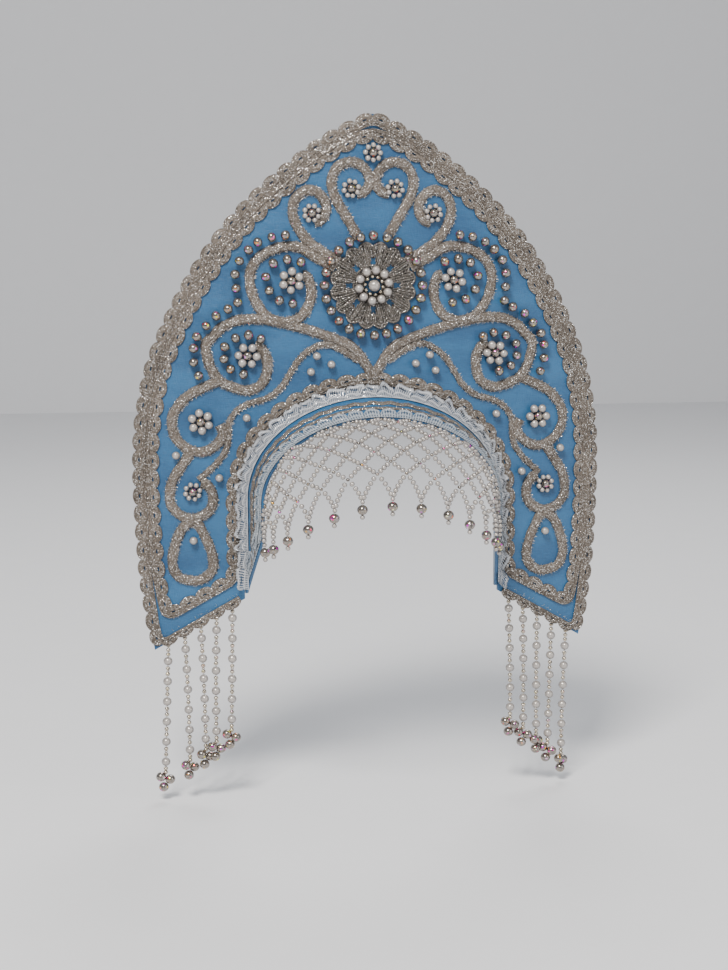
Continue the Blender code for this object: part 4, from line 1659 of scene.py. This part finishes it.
@dataclass
class PearlNet(BeadTrim):
    """The pearl net over the forehead with its drops."""

    half_width: float = 0.0772
    base_y: float = -0.0324
    bulge: float = 0.044
    centre_z: float = -0.066
    rise: float = 0.0540
    low_centre: float = -0.057
    low_drop: float = 0.033
    columns: int = 13
    first_row: float = 0.0150
    row: float = 0.0078
    rows: int = 14
    pearl_radius: float = 0.00168
    seed_radius: float = 0.0013
    ball_radius: float = 0.0034
    thread_radius: float = 0.00022
    spacing: float = 0.0032
    drop_spacing: float = 0.0033
    drop_sag: float = 0.0012
    uneven: float = 0.0004

    def crossing(self, column: int, climb: float) -> tuple[Vector, Vector, float]:
        """Return a net point above the lower edge.

        Args:
            column: Its column, counted from the middle.
            climb: Its distance up the net from the lower edge.

        Returns:
            The place, the outward direction, and how far it would pass the top.
        """
        turn = pi / 2 * column / self.columns
        x = self.half_width * sin(turn)
        rise, bulge = self.rise * cos(turn), self.bulge * cos(turn)
        low = self.low_centre - self.low_drop * sin(turn) ** 2
        straight = self.centre_z - low
        angle = 0.0
        if straight < 0:
            angle = asin(min(1.0, -straight / max(rise, 1e-6)))
            straight = 0.0
        flat = Vector((x / self.half_width ** 2, -bulge / self.bulge ** 2, 0.0))
        if climb <= straight:
            return Vector((x, self.base_y - bulge, low + climb)), flat.normalized(), 0.0
        left = climb - straight
        step = pi / 120
        while angle < pi / 2 - 0.001:
            piece = step * hypot(rise * cos(angle), bulge * sin(angle))
            if piece > left:
                angle += step * left / max(piece, 1e-9)
                left = 0.0
                break
            left -= piece
            angle += step
        angle = min(angle, pi / 2)
        z = self.centre_z + rise * sin(angle)
        place = Vector((x, self.base_y - bulge * cos(angle), z))
        out = Vector((flat.x, (place.y - self.base_y) / self.bulge ** 2,
                      (z - self.centre_z) / self.rise ** 2))
        return place, out.normalized(), left

    def string(self, group: Gathering, threads: list[Strand], start: Vector, end: Vector,
               count: int, sag: float = 0.0) -> None:
        """Add a short run of pearls.

        Args:
            group: The net's beads.
            threads: The net's threads.
            start: Where the thread starts.
            end: Where it ends.
            count: How many pearls.
            sag: How far it swings inwards and down.
        """
        run = end - start
        line = [start]
        for index in range(count):
            share = (index + 1) / (count + 1)
            place = start + run * share
            bow = sag * 4 * share * (1 - share)
            place += Vector((copysign(bow, run.x) if abs(run.x) > 0.001 else 0.0, 0, 0))
            group.add(self.beads.small_pearl, place, self.pearl_radius, 0, run, share * 5)
            line.append(place)
        threads.append(Strand(line + [end], self.thread_radius))

    def build(self) -> None:
        """Make the net."""
        noise = random.Random(3)
        group = Gathering()
        places: dict[tuple[int, int], Vector] = {}
        threads: list[Strand] = []
        for row in range(self.rows):
            climb = 0.0 if row == 0 else self.first_row + (row - 1) * self.row
            for column in range(-self.columns, self.columns + 1):
                if (column + row) % 2 or (row == 0 and abs(column) == self.columns):
                    continue
                place, out, spare = self.crossing(column, climb)
                if spare > 0.6 * self.row:
                    continue
                jitter = Vector([noise.uniform(-self.uneven, self.uneven) for _ in range(3)])
                places[(column, row)] = place + jitter - out * 0.0012
        for (column, row), place in places.items():
            if row == 0:
                continue
            group.add(self.beads.seed, place, self.seed_radius, 1, None, noise.uniform(0, 3))
            for other in ((column - 1, row + 1), (column + 1, row + 1)):
                if other in places:
                    far = places[other]
                    count = max(1, min(3, round((far - place).length / self.spacing - 0.9)))
                    self.string(group, threads, place, far, count)
        self.drops(group, places, threads, noise)
        settle(group.build("pearl_net", self.finishes.pearl, self.finishes.silver,
                           self.finishes.seed), "pearl", "bead_net")
        settle(dressed(wind("net_thread", threads, 4), self.finishes.thread), "lace")

    def drops(self, group: Gathering, places: dict[tuple[int, int], Vector],
              threads: list[Strand], noise: random.Random) -> None:
        """Add the drops under the lower edge.

        Args:
            group: The net's beads.
            places: The net's crossings.
            threads: The net's threads.
            noise: The source of their unevenness.
        """
        for column in range(-self.columns + 1, self.columns, 2):
            shared = places[(column, 0)] + Vector((0, 0, -0.0015))
            for other in ((column - 1, 1), (column + 1, 1)):
                if other in places:
                    start = places[other]
                    count = max(3, round((shared - start).length / self.drop_spacing - 1))
                    self.string(group, threads, start, shared, count, self.drop_sag)
            group.add(self.beads.small_pearl, shared, 0.0015, 0)
            ball = shared + Vector((noise.uniform(-self.uneven, self.uneven), 0, -0.0048))
            group.add(self.beads.silver, ball, self.ball_radius, 1, None, noise.uniform(0, 3))
            group.add(self.beads.small_pearl, ball + Vector((0, 0, -0.0046)), 0.0016, 0)


@dataclass
class Fringe(BeadTrim):
    """The bead strings under the bottom edges."""

    tops: tuple[tuple[str, float, float, float, float, float], ...] = (
        ("1", 0.1353, -0.1628, -0.0040, -0.0024, 0.0122),
        ("2", 0.1246, -0.1565, 0.0022, -0.0022, 0.0104),
        ("3", 0.1140, -0.1503, 0.0020, 0.0004, 0.0092),
        ("4", 0.1036, -0.1442, -0.0012, 0.0008, 0.0098),
        ("5", 0.0932, -0.1382, -0.0022, 0.0018, 0.0078),
    )
    pearls: int = 6
    pitch: float = 0.0137
    length: float = 0.1040
    pearl_radius: float = 0.0030
    seed_radius: float = 0.0016
    ball_radius: float = 0.0034
    ball_spread: float = 0.0031
    balls: Pairs = ((-1.0, 0.0102), (1.0, 0.0122), (-0.35, 0.0172))
    thread_radius: float = 0.00025

    def string(self, name: str, top: Vector, lean: float, first: float,
               noise: random.Random) -> None:
        """Make one string.

        Args:
            name: The solid that it stands for.
            top: Where it is sewn on.
            lean: How far its foot hangs to the side.
            first: How far down its first pearl hangs.
            noise: The source of its unevenness.
        """
        group = Gathering()
        foot = Vector((lean, 0.0, -self.length))
        swing = noise.uniform(-0.0008, 0.0008)

        def at(drop: float) -> Vector:
            """Return the place on the thread at a distance below its top."""
            share = drop / self.length
            return top + foot * share + Vector((swing * sin(pi * share), 0, 0))

        run = foot.normalized()

        def small(drop: float) -> None:
            """Add one small silver seed."""
            group.add(self.beads.seed, at(drop), self.seed_radius, 2, run, noise.uniform(0, 3))

        level = first - 0.0045
        while level > 0.0:
            small(level)
            level -= 0.0030
        for index in range(self.pearls):
            level = first + index * self.pitch
            group.add(self.beads.pearl, at(level), self.pearl_radius, 0, run, noise.uniform(0, 3))
            if index < self.pearls - 1:
                small(level + 0.0049)
                small(level + 0.0088)
                group.add(self.beads.pearl, at(level + 0.00685), 0.0010, 0, run)
        level = first + (self.pearls - 1) * self.pitch
        small(level + 0.0046)
        small(level + 0.0072)
        turn = noise.uniform(-0.9, 0.9)
        for hand, drop in self.balls:
            away = Vector((cos(turn), sin(turn), 0.0)) * (self.ball_spread * hand)
            group.add(self.beads.silver, at(level + drop) + away, self.ball_radius, 1, None,
                      noise.uniform(0, 3))
        made = group.build(name + "_beads", self.finishes.pearl, self.finishes.silver,
                           self.finishes.seed)
        settle(made, "pearl", name)
        line = [at(self.length * step / 10) for step in range(10)]
        settle(dressed(wind(name + "_thread", [Strand(line, self.thread_radius)], 4),
                       self.finishes.thread), "lace")

    def build(self) -> None:
        """Make every string."""
        noise = random.Random(11)
        for label, half, level, lean_left, lean_right, first in self.tops:
            for side in Side:
                lean = lean_left if side is Side.LEFT else lean_right
                top = Vector((side.value * half, FACE.back(half) + 0.0015, level - 0.0008))
                self.string(f"fringe_{side.letter}{label}", top, lean, first, noise)


@dataclass
class Studio:
    """The floor, the lights and the camera."""

    camera_place: Triple = (-0.174, -1.093, 0.087)
    yaw: float = 8.72
    pitch: float = 7.54
    roll: float = 0.22
    focal: float = 1700.0
    frame_height: float = 970.0
    floor_z: float = -0.271
    sensor: float = 36.0
    air: float = 0.48

    def floor(self) -> None:
        """Make the floor and a plain wall that rises from it."""
        deselect()
        bpy.ops.mesh.primitive_plane_add(size=6.0, location=(0.0, 0.0, self.floor_z))
        made = bpy.context.object
        made.name = "studio_floor"
        for edge in made.data.edges:
            edge.select = all(made.data.vertices[index].co.y > 2.9 for index in edge.vertices)
        for vert in made.data.vertices:
            vert.select = vert.co.y > 2.9
        for face in made.data.polygons:
            face.select = False
        with editing():
            bpy.ops.mesh.extrude_region_move(TRANSFORM_OT_translate={"value": (0.0, 0.0, 4.0)})
        dressed(made, StudioFinish().make())

    def light(self, name: str, place: Triple, size: float,
              power: float, colour: Triple) -> None:
        """Add one soft light aimed at the headdress.

        Args:
            name: Its name.
            place: Where it stands.
            size: Its width.
            power: Its power in watts.
            colour: Its colour.
        """
        deselect()
        bpy.ops.object.light_add(type="AREA", location=place)
        made = bpy.context.object
        made.name = name
        made.data.size = size
        made.data.energy = power
        made.data.color = colour
        made.rotation_euler = (-Vector(place)).to_track_quat("-Z", "Y").to_euler()

    def build(self) -> None:
        """Make the floor, lights and camera."""
        self.floor()
        self.light("key_light", (-0.7, -1.5, 1.8), 0.7, 84.0, (1.0, 0.97, 0.93))
        self.light("fill_light", (1.6, -1.4, 0.6), 1.4, 11.0, (0.93, 0.96, 1.0))
        self.light("rim_light", (0.4, 1.3, 1.6), 0.9, 16.0, (1.0, 1.0, 1.0))
        world = bpy.data.worlds.new("studio_air")
        world.use_nodes = True
        world.node_tree.nodes["Background"].inputs["Color"].default_value = (0.84, 0.87, 0.92, 1.0)
        world.node_tree.nodes["Background"].inputs["Strength"].default_value = self.air
        bpy.context.scene.world = world
        deselect()
        bpy.ops.object.camera_add(location=self.camera_place)
        made = bpy.context.object
        made.name = "photo_camera"
        yaw, pitch = radians(self.yaw), radians(self.pitch)
        ahead = Vector((sin(yaw) * cos(pitch), cos(yaw) * cos(pitch),
                        -sin(pitch)))
        turn = ahead.to_track_quat("-Z", "Y").to_matrix()
        turn = turn @ Matrix.Rotation(-radians(self.roll), 3, "Z")
        made.rotation_euler = turn.to_euler()
        made.data.sensor_width = self.sensor
        made.data.lens = self.focal * self.sensor / self.frame_height
        bpy.context.scene.camera = made


def main() -> None:
    """Build the headdress and its studio."""
    logging.basicConfig(level=logging.INFO, format="%(message)s")
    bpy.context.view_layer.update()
    finishes = Finishes()
    beads = Beads()
    Panel(finishes).dress()
    ForeheadBand(finishes).build()
    ScallopBraids(finishes).build()
    Scrolls(finishes).build()
    for part in (SewnBeads, Medallion, PearlNet, Fringe):
        part(finishes, beads).build()
    Studio().build()
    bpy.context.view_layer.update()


if __name__ == "__main__":
    main()
